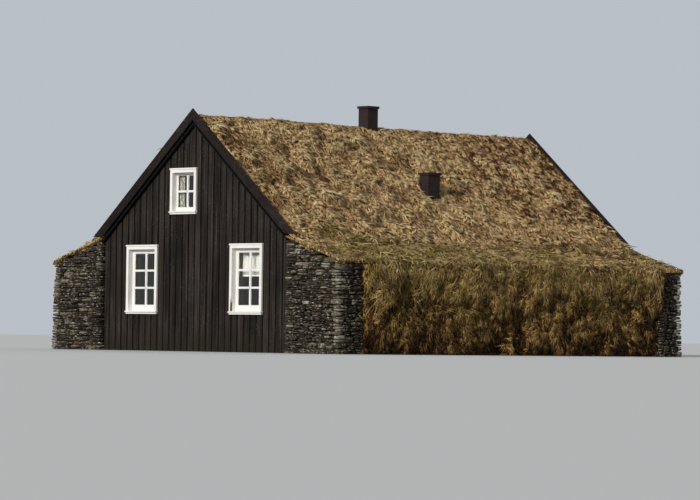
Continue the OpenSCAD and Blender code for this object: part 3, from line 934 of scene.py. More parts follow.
# %% The cloth materials
def cotton_material(name, fresh, faded, thread):
    """A plain weave of bands both ways, between two tones, with darker threads."""
    made, tree, shader, place = new_material(name)
    warp, weft = (add(tree, "TexWave", {"Vector": place, "Scale": 260.0}, wave_type="BANDS",
                      bands_direction=way).outputs["Fac"] for way in "XZ")
    weave = math_of(tree, "MULTIPLY", warp, weft)
    worn = place_group(tree, weathering, Patch_size=0.3, Mottle_size=0.02)
    colour = blend(tree, worn["Patches"], fresh, faded)
    colour = blend(tree, math_of(tree, "MULTIPLY", weave, 0.12), colour, thread)
    coat(tree, shader, colour, 0.9, bump(tree, weave, 0.3, 0.0005))
    shader.inputs["Sheen Weight"].default_value = 0.2
    return made


blind_cotton = cotton_material("blind cotton", rgb(188, 190, 184), rgb(178, 179, 171), rgb(148, 145, 132))
# painted shade: the curtain's cotton is a dull grey beige for the shade of the room it hangs in
curtain_cotton_in_shade = cotton_material("curtain cotton in painted shade", rgb(140, 138, 130), rgb(122, 120, 111), rgb(98, 94, 84))

# %% [markdown]
# The roller blind
#
# A blind is a roller with sunk ends, a thin sheet, and a bar that keeps its foot straight.
# A simulation could let the sheet fall, but a blind under the weight of its bar hangs
# almost flat. So its grid is laid half a turn round the roller and then straight down, with
# a slight wave.

# %% Rods and bent grids
def rod(name, low_x, high_x, y, z, radius, corners, rim, sunk=0.0):
    """A rod along X; each end has a rim, and what lies within it can be sunk."""
    clear_hands()
    bpy.ops.mesh.primitive_cylinder_add(vertices=corners, radius=radius, depth=high_x - low_x,
                                        rotation=(0, math.pi / 2, 0),
                                        location=((low_x + high_x) / 2, y, z))
    made = settle(bpy.context.object)
    made.name = name
    edit(made)
    pick_faces(made, lambda at, n: abs(n.x) > 0.9)
    bpy.ops.mesh.inset(thickness=rim, use_individual=True)
    if sunk:
        bpy.ops.mesh.extrude_faces_move(TRANSFORM_OT_shrink_fatten={"value": -sunk})
    bpy.ops.object.mode_set(mode="OBJECT")
    return made


def bent_grid(name, columns, rows, surface):
    """A grid; surface takes shares (0 to 1) of its two sides, and gives a point."""
    clear_hands()
    bpy.ops.mesh.primitive_grid_add(x_subdivisions=columns, y_subdivisions=rows, size=1)
    made = bpy.context.object
    made.name = name
    for point in made.data.vertices:
        point.co = surface(point.co.x + 0.5, point.co.y + 0.5)
    return made


def smooth(obj):
    """Smooth shading over the whole of an object."""
    use(obj)
    bpy.ops.object.shade_smooth()
    return obj


# %% The roller and the foot bar
blind_low, blind_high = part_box("front_right_window_blind")
roller_r, cloth_gap = 0.018, 0.001
roller_y, roller_z = blind_high.y - roller_r, blind_high.z - roller_r
side_room, foot_t, foot_h = 0.008, 0.012, 0.028

roller = rod("blind_roller", blind_low.x, blind_high.x, roller_y, roller_z, roller_r - cloth_gap, 24,
             rim=0.006, sunk=0.004)
keep(roller, white_paint, "white_paint", "front_right_window_blind")

foot = block("blind_bar", (blind_low.x + side_room, blind_low.y, blind_low.z),
             (blind_high.x - side_room, blind_low.y + foot_t, blind_low.z + foot_h))
modify(foot, "BEVEL", width=0.004, segments=2)
keep(foot, white_paint, "white_paint")

# %% The blind's cloth
turn_steps, fall_steps = 8, 20
fall = roller_z - (blind_low.z + foot_h)
cloth_w = blind_high.x - blind_low.x - 2 * side_room
cloth_r = roller_r + cloth_gap


def blind_point(across_share, up_share):
    """Half a turn round the roller, then down to the foot bar."""
    x = blind_low.x + side_room + cloth_w * across_share
    step = round((1 - up_share) * (turn_steps + fall_steps))
    if step <= turn_steps:
        angle = math.pi * step / turn_steps
        return x, roller_y + cloth_r * math.cos(angle), roller_z + cloth_r * math.sin(angle)
    down_share = (step - turn_steps) / fall_steps
    wave = 0.002 * math.sin(9 * across_share + 4 * down_share) * math.sin(math.pi * down_share)
    return x, roller_y - cloth_r + wave, roller_z - fall * down_share


blind = smooth(bent_grid("roller_blind", 24, turn_steps + fall_steps, blind_point))
keep(blind, blind_cotton, "window_cloth")

# %% [markdown]
# The gathered curtain
#
# A curtain pushed to one side keeps its height and folds up its width. It could be
# gathered by a simulation too, but then its flat width is only known afterwards. A sine
# across the grid gives the pleats in one step. They drift a little on their way down, so
# that they don't hang like a printed pattern.

# %% The rail and the curtain
curtain_low, curtain_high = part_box("front_loft_window_curtain")
rail_r = 0.007
rail_y, rail_z = (curtain_low.y + curtain_high.y) / 2, curtain_high.z - rail_r
rail = rod("curtain_rail", curtain_low.x, curtain_high.x, rail_y, rail_z, rail_r, 16, rim=0.002)
keep(rail, white_paint, "white_paint", "front_loft_window_curtain")

curtain_w, pleats, pleat_depth = 0.18, 4, 0.019
curtain_h = rail_z - rail_r - curtain_low.z
curtain_columns = pleats * 12


def pleat(share, drift=0.0):
    """How far the cloth swings out at a share of its width."""
    return pleat_depth * math.sin(2 * math.pi * pleats * share + drift)


def curtain_point(across_share, up_share):
    """Pleats that drift more and more on their way down."""
    down_share = 1 - up_share
    drift = 0.5 * math.sin(3.1 * down_share + 5 * across_share) * down_share
    return (curtain_low.x + side_room + curtain_w * across_share, rail_y + pleat(across_share, drift),
            rail_z - rail_r - curtain_h * down_share)


curtain = smooth(bent_grid("loft_curtain", curtain_columns, 16, curtain_point))
keep(curtain, curtain_cotton_in_shade, "window_cloth")

# %% [markdown]
# One stone
#
# A stone of a dry wall is a thin slab with broken edges. Sculpting gives the best single
# stone, but a wall of them needs few faces on each. So a stone starts as a cube with all
# its edges cut off. One end is made lower than the other, and the corners are shaken at
# random. Eight such slabs, turned over, mirrored and stretched, are enough for thousands.

# %% Meshes as arrays
def read_rows(items, attribute, width, kind=np.float32):
    """An attribute of all points or triangles, as an array with width numbers in a row."""
    values = np.empty(len(items) * width, kind)
    items.foreach_get(attribute, values)
    return values.reshape(-1, width)


def arrays(obj):
    """The points and triangles of an object as arrays."""
    corners = np.array([face.vertices[:] for face in obj.data.polygons], np.int32)
    return read_rows(obj.data.vertices, "co", 3), corners


def mesh_from(name, points, corners, attribute, values):
    """A joined mesh from arrays of points and triangles, with a colour on each point."""
    mesh = bpy.data.meshes.new(name)
    mesh.vertices.add(len(points))
    mesh.vertices.foreach_set("co", points.astype(np.float32).ravel())
    mesh.loops.add(corners.size)
    mesh.loops.foreach_set("vertex_index", corners.astype(np.int32).ravel())
    mesh.polygons.add(len(corners))
    mesh.polygons.foreach_set("loop_start", np.arange(0, corners.size, 3, dtype=np.int32))
    mesh.update(calc_edges=True)
    layer = mesh.color_attributes.new(attribute, "FLOAT_COLOR", "POINT")
    full = np.ones((len(points), 4), np.float32)
    full[:, :3] = values
    layer.data.foreach_set("color", full.ravel())
    obj = bpy.data.objects.new(name, mesh)
    bpy.context.scene.collection.objects.link(obj)
    return obj


# %% Eight stones
def stone(seed):
    """An irregular slab that fills a cube of side 1."""
    chance = random.Random(seed)
    made = block("stone", (-0.5, -0.5, -0.5), (0.5, 0.5, 0.5))
    modify(made, "BEVEL", width=0.14, segments=1, limit_method="NONE")
    edit(made)
    pick_faces(made, lambda at, n: at.x > 0.3)
    bpy.ops.transform.resize(value=(1, chance.uniform(0.8, 1), chance.uniform(0.55, 1)))
    bpy.ops.mesh.select_all(action="SELECT")
    bpy.ops.transform.vertex_random(offset=0.12, seed=seed)
    bpy.ops.object.mode_set(mode="OBJECT")
    modify(made, "TRIANGULATE")
    spots = np.array([point.co for point in made.data.vertices])
    low, high = spots.min(0), spots.max(0)
    spots = (spots - (low + high) / 2) / (high - low)
    made.data.vertices.foreach_set("co", spots.astype(np.float32).ravel())
    return made


stones = [stone(seed) for seed in range(8)]
stone_shapes = [arrays(made) for made in stones]
drop(*stones)
print("a stone has", [len(corners) for points, corners in stone_shapes], "triangles")

# %% [markdown]
# Laying a corner
#
# A mason builds up in rough bands, levels each one with whatever fits, and ties the outer
# edge with stones that are long one way and then the other. So a band here is 7 to 19 cm
# high and is parted into cells, and each cell is one thick stone or two or three slabs.
# Bricks in rows, however rough, would look like bricks. Here the joints never line up for
# long, and a slow wave keeps the bands from being level. Behind the stones a block, the
# heart, closes the joints; its near-black colour is painted shade.

# %% Cells and slabs
def cells(start, stop, chance, shortest, typical, longest):
    """Parts a stretch into lengths."""
    found = []
    while stop - start > 0.001:
        length = chance.triangular(shortest, longest, typical)
        if stop - start - length < shortest:
            length = stop - start
        found.append((start, start + length))
        start += length
    return found


thinnest = 0.038


def slabs(low, high, chance):
    """Parts the height of a band into one, two or three slabs."""
    most = int((high - low) / thinnest)
    count = max(1, min(most, chance.choices((1, 2, 3), (0.34, 0.46, 0.2))[0]))
    cuts = [low + (high - low) * (k + chance.uniform(-0.22, 0.22)) / count for k in range(1, count)]
    cuts = [low] + cuts + [high]
    return list(zip(cuts, cuts[1:]))


# %% The bands of a corner
corner_l, lay_in = 0.83, 0.014
end_batter, side_batter = 0.04, wall_foot_x - wall_brow_x
flank_t = wall_foot_x - body_half
side_cells, front_cells, broken_cells = (0.1, 0.24, 0.45), (0.1, 0.24, 0.5), (0.1, 0.16, 0.3)


def lay_corner(seed, inner_return):
    """Boxes (x0, x1, y0, y1, z0, z1) of the stones of a corner, measured as on the right:
    x outwards from the body's side, y inwards from the end of the flank."""
    chance = random.Random(seed)
    boxes = []
    z, number = 0.0, 0
    while z < flank_in_z - 0.03:
        top = z + chance.triangular(0.07, 0.19, 0.11)
        out_x = flank_t - side_batter * z / wall_brow_z - lay_in
        end = end_batter * z / flank_in_z + lay_in
        long_way, short_way = chance.uniform(0.2, 0.32), chance.uniform(0.11, 0.17)
        quoin_x, quoin_y = (long_way, short_way) if number % 2 else (short_way, long_way)
        front_stop = out_x
        if z + 0.04 < wall_brow_z:
            front_stop = out_x - quoin_x
            for low, high in slabs(z, min(top, wall_brow_z + 0.06), chance):
                boxes.append((front_stop - chance.uniform(0, 0.04), out_x,
                              end, end + quoin_y + chance.uniform(0, 0.04), low, high))
            for a, b in cells(end + quoin_y, corner_l + chance.uniform(-0.04, 0.05), chance, *side_cells):
                for low, high in slabs(z, min(top, wall_brow_z + 0.04), chance):
                    boxes.append((out_x - chance.uniform(0.2, 0.3), out_x, a, b, low, high))
        for a, b in cells(0.008, front_stop, chance, *front_cells):
            ceiling = flank_in_z - (a + b) / 2 * math.tan(flank_fall) + 0.04
            if z + 0.03 > ceiling:
                continue
            for low, high in slabs(z, min(top, ceiling), chance):
                broken = b - a > 0.26 and chance.random() < 0.45
                for c, d in cells(a, b, chance, *broken_cells) if broken else [(a, b)]:
                    boxes.append((c, d, end, end + chance.uniform(0.2, 0.3), low, high))
            if a < 0.01 and inner_return > 0.25:
                for low, high in slabs(z, min(top, ceiling), chance):
                    boxes.append((a, a + 0.25, end + 0.28, inner_return + 0.03, low, high))
        z, number = top, number + 1
    return boxes


# %% From boxes to stones
def corner_mesh(name, boxes, side, end, seed):
    """All stones of a corner in one mesh; side and end are the signs of X and Y."""
    chance = np.random.default_rng(seed)
    all_points, all_corners, all_looks, count = [], [], [], 0
    for x0, x1, y0, y1, z0, z1 in boxes:
        points, corners = stone_shapes[chance.integers(len(stone_shapes))]
        flips = chance.choice((-1, 1), 3)
        size = np.array((x1 - x0, y1 - y0, z1 - z0))
        points = points * flips
        if np.prod(flips) < 0:
            corners = corners[:, ::-1]
        if size[1] > size[0]:
            points = points[:, (1, 0, 2)]
            corners = corners[:, ::-1]
        points = points * (size - (0.004, 0.004, 0.001)) * (1.03, 1.04, 1.03)
        turn, tip = chance.normal(0, 0.05), chance.normal(0, 0.035)
        points = points @ np.array(Matrix.Rotation(turn, 3, "Z")).T @ np.array(Matrix.Rotation(tip, 3, "Y")).T
        middle = Vector(((x0 + x1) / 2, (y0 + y1) / 2, (z0 + z1) / 2))
        wave = 0.05 * noise.noise(Vector((middle.x * 1.6, middle.y * 1.6, middle.z * 0.9 + seed)))
        middle.z += wave * min(1, middle.z / 0.4)
        middle.x -= abs(chance.normal(0, 0.007))
        middle.y += abs(chance.normal(0, 0.018))
        points = points + np.array(middle)
        points[:, 0] = np.clip(points[:, 0], 0.003, flank_t - 0.002)
        points[:, 1] = np.clip(points[:, 1], 0.002, None)
        points[:, 2] = np.clip(points[:, 2], 0.0, None)
        outer = x1 > flank_t - side_batter - 0.03
        at_edge = outer and y0 < 0.1
        pale = chance.random() < (0.85 if at_edge else 0.14)
        tone = chance.uniform(0.65, 1.0) if pale else chance.uniform(0.0, 0.56) ** 1.3
        # painted shade: stones of an outer face away from the edge keep about half their tone, and those of
        # the left corners are a little darker
        shade = 0.48 if outer and not at_edge else 1.0 if side > 0 else 0.86
        look = (tone * shade, chance.random(), chance.random())
        all_points.append(points)
        all_corners.append(corners + count)
        all_looks.append(np.tile(look, (len(points), 1)))
        count += len(points)
    points = np.concatenate(all_points)
    corners = np.concatenate(all_corners)
    points[:, 0] = side * (body_half + points[:, 0])
    points[:, 1] = end * (end_y_out - points[:, 1])
    if side == end:
        corners = corners[:, ::-1]
    return mesh_from(name, points, corners, "stone_look", np.concatenate(all_looks))


# %% The heart behind the stones
heart_in, heart_foot, heart_drop = 0.1, 0.02, 0.06


def corner_heart(node, side, end, seed):
    """A rough block of rubble with a falling top, near black as painted shade, made at one corner and
    mirrored.
    """
    low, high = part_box(node)
    in_x = min(abs(low.x), abs(high.x)) + heart_in
    heart = block(node + "_heart", (in_x, -end_y_out + heart_in + end_batter, heart_foot),
                  (wall_brow_x - heart_in, -end_y_out + corner_l, flank_in_z - heart_drop))
    edit(heart, "VERT")
    cage = bmesh.from_edit_mesh(heart.data)
    for point in cage.verts:
        if point.co.z > 1:
            point.co.z -= (point.co.x - body_half) * math.tan(flank_fall)
    bmesh.update_edit_mesh(heart.data)
    bpy.ops.mesh.select_all(action="SELECT")
    bpy.ops.mesh.subdivide(number_cuts=6)
    bpy.ops.transform.vertex_random(offset=0.02, seed=seed)
    bpy.ops.object.mode_set(mode="OBJECT")
    heart.scale = (side, -end, 1)
    settle(heart)
    if side == end:
        edit(heart)
        bpy.ops.mesh.select_all(action="SELECT")
        bpy.ops.mesh.normals_make_consistent(inside=False)
        bpy.ops.object.mode_set(mode="OBJECT")
    return keep(heart, shaded_heart, "field_stone")


# %% The four corners
inner_returns = {-1: end_y_out + gable_front, 1: end_y_out - gable_back}
corner_signs = (("front_right_corner", 1, -1), ("front_left_corner", -1, -1),
                ("back_right_corner", 1, 1), ("back_left_corner", -1, 1))
for number, (node, side, end) in enumerate(corner_signs):
    boxes = lay_corner(40 + number, inner_returns[end])
    keep(corner_mesh(node + "_stones", boxes, side, end, 60 + number), field_stone, "field_stone", node)
    corner_heart(node, side, end, number)
    print(node, "has", len(boxes), "stones")

# %% [markdown]
# Sods
#
# Cut turf is laid in layers and grows together into one lumpy mat. Each mat starts as a
# grid, is bent to the outline of the solid it covers, closed underneath, and then raised
# and sunk by noise at three scales, which makes the hummocks and the hollows between them.
# A Displace modifier does that last step by itself, but over the whole mat. Here each point
# is asked how much it may move, so the seams to wood and stone stay where they are.

# %% Closed and roughened mats
def sod(name, across, along, surface, closing):
    """A closed mat: a bent grid whose rim is drawn out by closing and filled. An extrusion
    makes its faces in another order each run, so those after the grid's are sorted."""
    made = bent_grid(name, across, along, surface)
    edit(made, "EDGE")
    bpy.ops.mesh.select_all(action="SELECT")
    bpy.ops.mesh.region_to_loop()
    bpy.ops.mesh.extrude_edges_move(TRANSFORM_OT_translate={"value": closing})
    bpy.ops.mesh.edge_face_add()
    bpy.ops.mesh.select_all(action="SELECT")
    bpy.ops.mesh.normals_make_consistent(inside=False)
    cage = bmesh.from_edit_mesh(made.data)
    cage.faces.index_update()
    in_order = sorted(cage.faces, key=lambda face: (min(face.index, across * along),
                                                    tuple(face.calc_center_median())))
    for index, face in enumerate(in_order):
        face.index = index
    cage.faces.sort()
    bmesh.update_edit_mesh(made.data)
    bpy.ops.object.mode_set(mode="OBJECT")
    return made


def lump_at(spot, size, stretch):
    """Noise for the lumps of a sod, drawn out by stretch along the fall of the ground."""
    return noise.noise(Vector((spot[0] / size / stretch + 3.7, spot[1] / size + 9.1,
                               spot[2] / size / stretch + 5.3)))


def roughen(obj, lumps, outward, limit_low, limit_high):
    """Moves points along their normals by noise, by the share that outward gives; lumps
    holds (size, depth, stretch)."""
    mesh = obj.data
    moves = []
    for point in mesh.vertices:
        shift, share = 0.0, float(outward(point.co, point.normal))
        for size, depth, stretch in lumps if share else ():
            shift += share * depth * lump_at(point.co, size, stretch)
        moves.append(point.co + point.normal * shift)
    for point, spot in zip(mesh.vertices, moves):
        point.co = [min(max(c, a), b) for c, a, b in zip(spot, limit_low, limit_high)]
    mesh.update()
    smooth(obj)


# %% [markdown]
# The roof's turf
#
# The sods of the roof are rounded over the ridge and run out at the foot in a hollow curve
# on the caps of the flank walls. The mat follows that outline a hand's breadth below the
# solid's surface, so that its hummocks and its grass end about where the solid does. Its
# lumps are drawn out down the slope, the way rain and frost move the turf.

# %% The sods of the roof
box_low, box_high = Vector(cad_box[0]), Vector(cad_box[1])
verge_front, verge_back = roof_low.y + 0.004, roof_high.y - 0.004
sod_in, fillet, fillet_l, run_out = 0.045, 0.32, 1.0, 0.45


def cap_top(x):
    """The height of a cap's top at x from the middle of the house."""
    return cap_top_z - (x - body_half) * math.tan(flank_fall)


def roof_point(side):
    """The bed of the roof's turf, a little inside its outline."""
    def surface(across_share, along_share):
        x = across_share * (crease_x + run_out)
        z = turf_z - x * math.tan(pitch)
        if x < ridge_r * math.sin(pitch):
            z = ridge_top - ridge_r + math.sqrt(ridge_r ** 2 - x ** 2)
        if x > crease_x - fillet_l:
            near = max(0.0, 1 - abs(z - cap_top(x)) / fillet)
            z = max(z, cap_top(x)) + near * near * fillet / 4
        y = verge_front + (verge_back - verge_front) * along_share
        return Vector((side * x, y, z - sod_in / math.cos(pitch)))
    return surface


def roof_share(at, normal):
    """Full relief on the slopes, little along the ridge, none at the verges."""
    inside = normal.z > 0.5 and verge_front + 0.01 < at.y < verge_back - 0.01
    return min(1.0, 0.2 + abs(at.x) / 0.5) if inside else 0.0


roof_lumps = ((0.9, 0.05, 1.0), (0.3, 0.12, 1.9), (0.17, 0.07, 1.9))
for side, word in flanks:
    mat = sod(word + "_roof_sod", 46, 200, roof_point(side), (0, 0, -0.12))
    roughen(mat, roof_lumps, roof_share, (-9, verge_front, 0), (9, verge_back, ridge_top + 0.02))
    keep(mat, sods["roof"], "roof_turf", word + "_roof_turf")

# %% [markdown]
# The face of a flank wall
#
# Old turf walls swell at half height, where the sods have settled. The mat follows that
# swelling and lies deeper than the stones beside it. It is made rough all over but for its
# top, where the cap has to lie on it, and its deepest lumps leave the dark hollows.

# %% The sods of the flank walls
wall_in, swell = 0.12, 0.08
wall_low, wall_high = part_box("right_turf_wall")


def wall_point(side):
    """The bed of the turf face between the stone corners, swelling at half height."""
    def surface(up_share, along_share):
        z = wall_brow_z * up_share
        x = wall_foot_x + (wall_brow_x - wall_foot_x) * up_share + 4 * swell * up_share * (1 - up_share)
        y = wall_low.y + (wall_high.y - wall_low.y) * along_share
        top_share = clamped((up_share - 0.55) / 0.4)
        return Vector((side * (x - wall_in * (1 - 1.5 * top_share)), y, z))
    return surface


def wall_share(at, normal):
    """Full relief on the face, little where it meets the cap."""
    if abs(normal.x) < 0.5 or at.z < 0.001:
        return 0.0
    return 1 - 0.75 * clamped((at.z - 1.45) / 0.4)


wall_lumps = ((0.9, 0.11, 1.5), (0.36, 0.16, 1.7), (0.16, 0.08, 1.0))
for side, word in flanks:
    mat = sod(word + "_wall_sod", 30, 140, wall_point(side), (-side * 0.9, 0, 0))
    roughen(mat, wall_lumps, wall_share,
            (box_low.x + 0.02, wall_low.y, 0), (box_high.x - 0.02, wall_high.y, 3))
    keep(mat, sods["wall"], "wall_turf", word + "_turf_wall")

# %% [markdown]
# The caps
#
# A last layer of turf keeps the rain out of the wall and hangs over its brow like a lip.
# Its section is one line: down the top, round the brow and back under the chin. Drawn out
# along the house that line gives the mat. Over the stones the lip is thin, so that they
# stay in sight.

# %% The sods of the caps
cap_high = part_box("right_turf_cap")[1]
cap_end, stone_y = cap_high.y - 0.03, end_y_out - corner_l
brow_x, brow_r, top_steps, brow_steps = cap_high.x - 0.11, 0.085, 24, 8


def cap_outline():
    """Points of the cap's outline, from the body's side over the brow to its chin."""
    spots = [Vector((x, cap_top(x) - 0.035)) for x in np.linspace(body_half + 0.01, brow_x, top_steps)]
    centre = spots[-1] - Vector((math.sin(flank_fall), math.cos(flank_fall))) * brow_r
    for angle in np.linspace(math.pi / 2 - flank_fall, -math.pi * 0.42, brow_steps + 1)[1:]:
        spots.append(centre + brow_r * Vector((math.cos(angle), math.sin(angle))))
    spots.append(spots[-1] + Vector((-0.06, -0.01)))
    return spots


cap_line = cap_outline()


def cap_point(side):
    """The bed of a cap; across shares run down its outline, and over the stones its lip is
    thin."""
    def surface(across_share, along_share):
        spot = across_share * (len(cap_line) - 1)
        index = min(int(spot), len(cap_line) - 2)
        x, z = cap_line[index].lerp(cap_line[index + 1], spot - index)
        y = cap_end * (2 * along_share - 1)
        thin = clamped((abs(y) - stone_y + 0.1) / 0.2)
        return Vector((side * x, y, z + thin * max(0.0, wall_brow_z + 0.04 - z)))
    return surface


def cap_share(at, normal):
    """Full relief but for the ends over the stones."""
    if abs(at.x) < body_half + 0.02:
        return 0.0
    return 0.4 if abs(at.y) > stone_y else 1.0


cap_lumps = ((0.7, 0.08, 1.0), (0.28, 0.08, 1.0), (0.13, 0.04, 1.0))
for side, word in flanks:
    mat = sod(word + "_cap_sod", len(cap_line) - 1, 150, cap_point(side), (-side * 0.02, 0, -0.03))
    roughen(mat, cap_lumps, cap_share,
            (box_low.x + 0.02, -cap_high.y + 0.01, 1.85), (box_high.x - 0.02, cap_high.y - 0.01, cap_top_z))
    keep(mat, sods[word + " cap"], "cap_turf", word + "_turf_cap")

# %% [markdown]
# One blade, one tuft
#
# A blade of dead grass is a narrow leaf, widest about a third of the way up and bent over
# at the tip. A flat card with a picture on it is lighter, but it vanishes from its side. A
# three sided cone gives the part above, and its base pulled to a point gives the part
# below: six faces. Seven to nine blades with different leans make a tuft. Each tuft is kept
# with three marks on its points: how light the blade is, how near the tip the point is, and
# how green the blade is.

# %% A blade
cone_share, cone_r = 0.68, 0.577


def blade(length, width, droop):
    """A closed leaf along Z, bent towards X."""
    clear_hands()
    tip_l = cone_share * length
    bpy.ops.mesh.primitive_cone_add(vertices=3, radius1=width * cone_r, radius2=0, depth=tip_l,
                                    location=(0, 0, length - tip_l / 2))
    made = settle(bpy.context.object)
    edit(made)
    pick_faces(made, lambda at, n: n.z < -0.9)
    bpy.ops.mesh.extrude_region_move(TRANSFORM_OT_translate={"value": (0, 0, tip_l - length)})
    bpy.ops.mesh.merge(type="CENTER")
    bpy.ops.mesh.select_all(action="SELECT")
    bpy.ops.transform.resize(value=(0.4, 1, 1))
    bpy.ops.object.mode_set(mode="OBJECT")
    for point in made.data.vertices:
        if point.co.z > 0.9 * length:
            point.co += Vector((droop * length, 0, -0.3 * droop * length))
    layer = made.data.color_attributes.new("blade", "FLOAT_COLOR", "POINT")
    for point, mark in zip(made.data.vertices, layer.data):
        mark.color = (0.5, min(1.0, point.co.z / length), 0.5, 1.0)
    return made


# %% Tufts
def tuft(seed, count, length, width, spread, reach, leans, droops=(0.15, 0.5)):
    """A tuft whose blades lean towards X; returns points, triangles and marks."""
    chance = random.Random(seed)
    leaves = []
    for number in range(count):
        size = length * chance.uniform(0.6, 1.15)
        leaf = blade(size, width * chance.uniform(0.8, 1.3), chance.uniform(*droops))
        way = chance.gauss(0, spread)
        lean = chance.uniform(*leans)
        spot = (chance.uniform(-reach, reach), chance.uniform(-reach, reach), 0)
        roll = chance.uniform(-0.6, 0.6)
        leaf.matrix_world = (Matrix.Translation(spot) @ Matrix.Rotation(way, 4, "Z")
                             @ Matrix.Rotation(lean, 4, "Y") @ Matrix.Rotation(roll, 4, "Z"))
        tone, green = clamped(chance.gauss(0.5, 0.1)), chance.random()
        for mark in leaf.data.color_attributes["blade"].data:
            mark.color = (tone, mark.color[1], green, 1.0)
        leaves.append(leaf)
    for leaf in leaves:
        settle(leaf)
    whole = join(leaves, "tuft")
    modify(whole, "TRIANGULATE")
    points, corners = arrays(whole)
    marks = read_rows(whole.data.color_attributes["blade"].data, "color", 4)
    drop(whole)
    return points, corners, marks[:, :3]


combed = [tuft(100 + n, 7, 0.19, 0.025, 0.34, 0.024, (1.1, 1.5), (-0.05, 0.15)) for n in range(6)]
lying = [tuft(400 + n, 7, 0.22, 0.020, 0.2, 0.03, (0.6, 1.3)) for n in range(6)]
hanging = [tuft(200 + n, 8, 0.36, 0.019, 0.3, 0.05, (1.0, 1.5)) for n in range(5)]
shaggy = [tuft(300 + n, 9, 0.2, 0.0165, 0.28, 0.036, (0.7, 1.3)) for n in range(6)]
print("tufts:", len(combed + lying + hanging + shaggy), "with", len(lying[0][1]), "triangles or more each")

# %% [markdown]
# Planting
#
# The tufts are spread evenly over the outer faces of a sod, by area, and each is turned so
# that its blades lean the way water runs there, give or take. Hair or instances would
# place them more lightly, but only a mesh goes along with a part into every program. So all
# copies of a region are written into one joined mesh, by sums on whole arrays, which take
# seconds where a loop over points takes minutes. Points that would leave the house's box
# or pass a barge board are pressed back softly, and no tuft stands where a chimney does.

# %% Patches and limits
press_room = 0.05


def patch(spot, size, seed):
    """Noise from about -0.5 to 0.5 with the given size."""
    return noise.noise(Vector(spot) / size + Vector((seed, 2 * seed, 3 * seed)))


def press(points, low, high):
    """Presses points back inside a box, softly, so that no blade is squeezed quite flat."""
    for axis in range(3):
        for limit, way in ((high[axis], 1), (low[axis], -1)):
            past = way * (points[:, axis] - limit) + press_room
            over = past > 0
            points[over, axis] = limit - way * press_room * np.exp(-past[over] / press_room)
    return points


# %% Roots on a ground, and the ways that tufts point there
def unit(rows):
    """Rows of vectors, each made one long."""
    return rows / np.maximum(np.linalg.norm(rows, axis=1, keepdims=True), 1e-6)


def roots_on(mesh, test, count, chance):
    """Points spread evenly over the faces that pass the test, with the smooth normal and
    the face's own normal at each."""
    mesh.calc_loop_triangles()
    spots, normals = read_rows(mesh.vertices, "co", 3), read_rows(mesh.vertices, "normal", 3)
    threes = read_rows(mesh.loop_triangles, "vertices", 3, np.int32)
    a, b, c = (spots[threes[:, k]] for k in range(3))
    cross = np.cross(b - a, c - a)
    area = np.linalg.norm(cross, axis=1) / 2
    facing = cross / np.maximum(2 * area[:, None], 1e-9)
    weight = np.cumsum(area * test((a + b + c) / 3, facing))
    marks = (np.arange(count) + chance.random(count)) * weight[-1] / count
    which = np.searchsorted(weight, marks)
    u, v = chance.random((2, count))
    flip = u + v > 1
    u[flip], v[flip] = 1 - u[flip], 1 - v[flip]
    root = a[which] + u[:, None] * (b - a)[which] + v[:, None] * (c - a)[which]
    return root, normals[threes[which]].mean(1), facing[which]


def ways_at(normal, facing, turn):
    """The X, Y and Z of a tuft: Z leaves the ground, X is the way that water runs, and both
    X and Y are turned about Z."""
    z_way = unit(0.6 * normal / np.linalg.norm(normal, axis=1, keepdims=True) + 0.4 * facing)
    down = np.array((0.0, 0.0, -1.0)) + 0.35 * facing
    x_way = unit(down - z_way * (down * z_way).sum(1, keepdims=True))
    y_way = np.cross(z_way, x_way)
    return x_way * np.cos(turn) + y_way * np.sin(turn), y_way * np.cos(turn) - x_way * np.sin(turn), z_way


# %% Planting a ground
def plant(name, ground, tufts, count, seed, test, sizes, mood, low, high, spin=0.5, scatter=0.5,
          sink=0.02, wind=1.0, keep_off=()):
    """Joins count tufts on the faces of the sod named ground that pass the test; mood gives
    what a spot adds to the tone and to the green, and how much larger its tuft is."""
    chance = np.random.default_rng(seed)
    root, normal, facing = roots_on(bpy.data.objects[ground].data, test, count, chance)
    turn = chance.normal(0, spin, count)[:, None]
    turn += np.array([[wind * patch(spot, 0.9, 13.0)] for spot in root])
    x_way, y_way, z_way = ways_at(normal, facing, turn)
    size = chance.uniform(*sizes, count)
    free = np.ones(count, bool)
    for x0, x1, y0, y1 in keep_off:
        free &= ~((root[:, 0] > x0) & (root[:, 0] < x1) & (root[:, 1] > y0) & (root[:, 1] < y1))
    kind = chance.integers(len(tufts), size=count)
    tone = chance.normal(0, scatter, count)
    more_tone, green, bigger = np.array([mood(spot) for spot in root]).T
    tone, size = tone + more_tone, size * bigger
    all_points, all_corners, all_marks, total = [], [], [], 0
    for index, (points, corners, look) in enumerate(tufts):
        mine = np.flatnonzero((kind == index) & free)
        grown = (points[None, :, 0, None] * x_way[mine, None] + points[None, :, 1, None] * y_way[mine, None]
                 + points[None, :, 2, None] * z_way[mine, None]) * size[mine, None, None]
        grown = grown + (root[mine] - sink * z_way[mine])[:, None]
        offsets = total + np.arange(len(mine)) * len(points)
        all_points.append(grown.reshape(-1, 3))
        all_corners.append((corners[None] + offsets[:, None, None]).reshape(-1, 3))
        looks = np.repeat(look[None], len(mine), 0)
        looks[:, :, 0] = np.clip(looks[:, :, 0] + tone[mine, None], 0, 1)
        looks[:, :, 2] += green[mine, None]
        all_marks.append(looks.reshape(-1, 3))
        total += len(mine) * len(points)
    points = press(np.concatenate(all_points), low, high)
    return mesh_from(name, points, np.concatenate(all_corners), "blade", np.concatenate(all_marks))


inside_low = np.array(box_low) + 0.002
inside_high = np.array(box_high) - 0.002

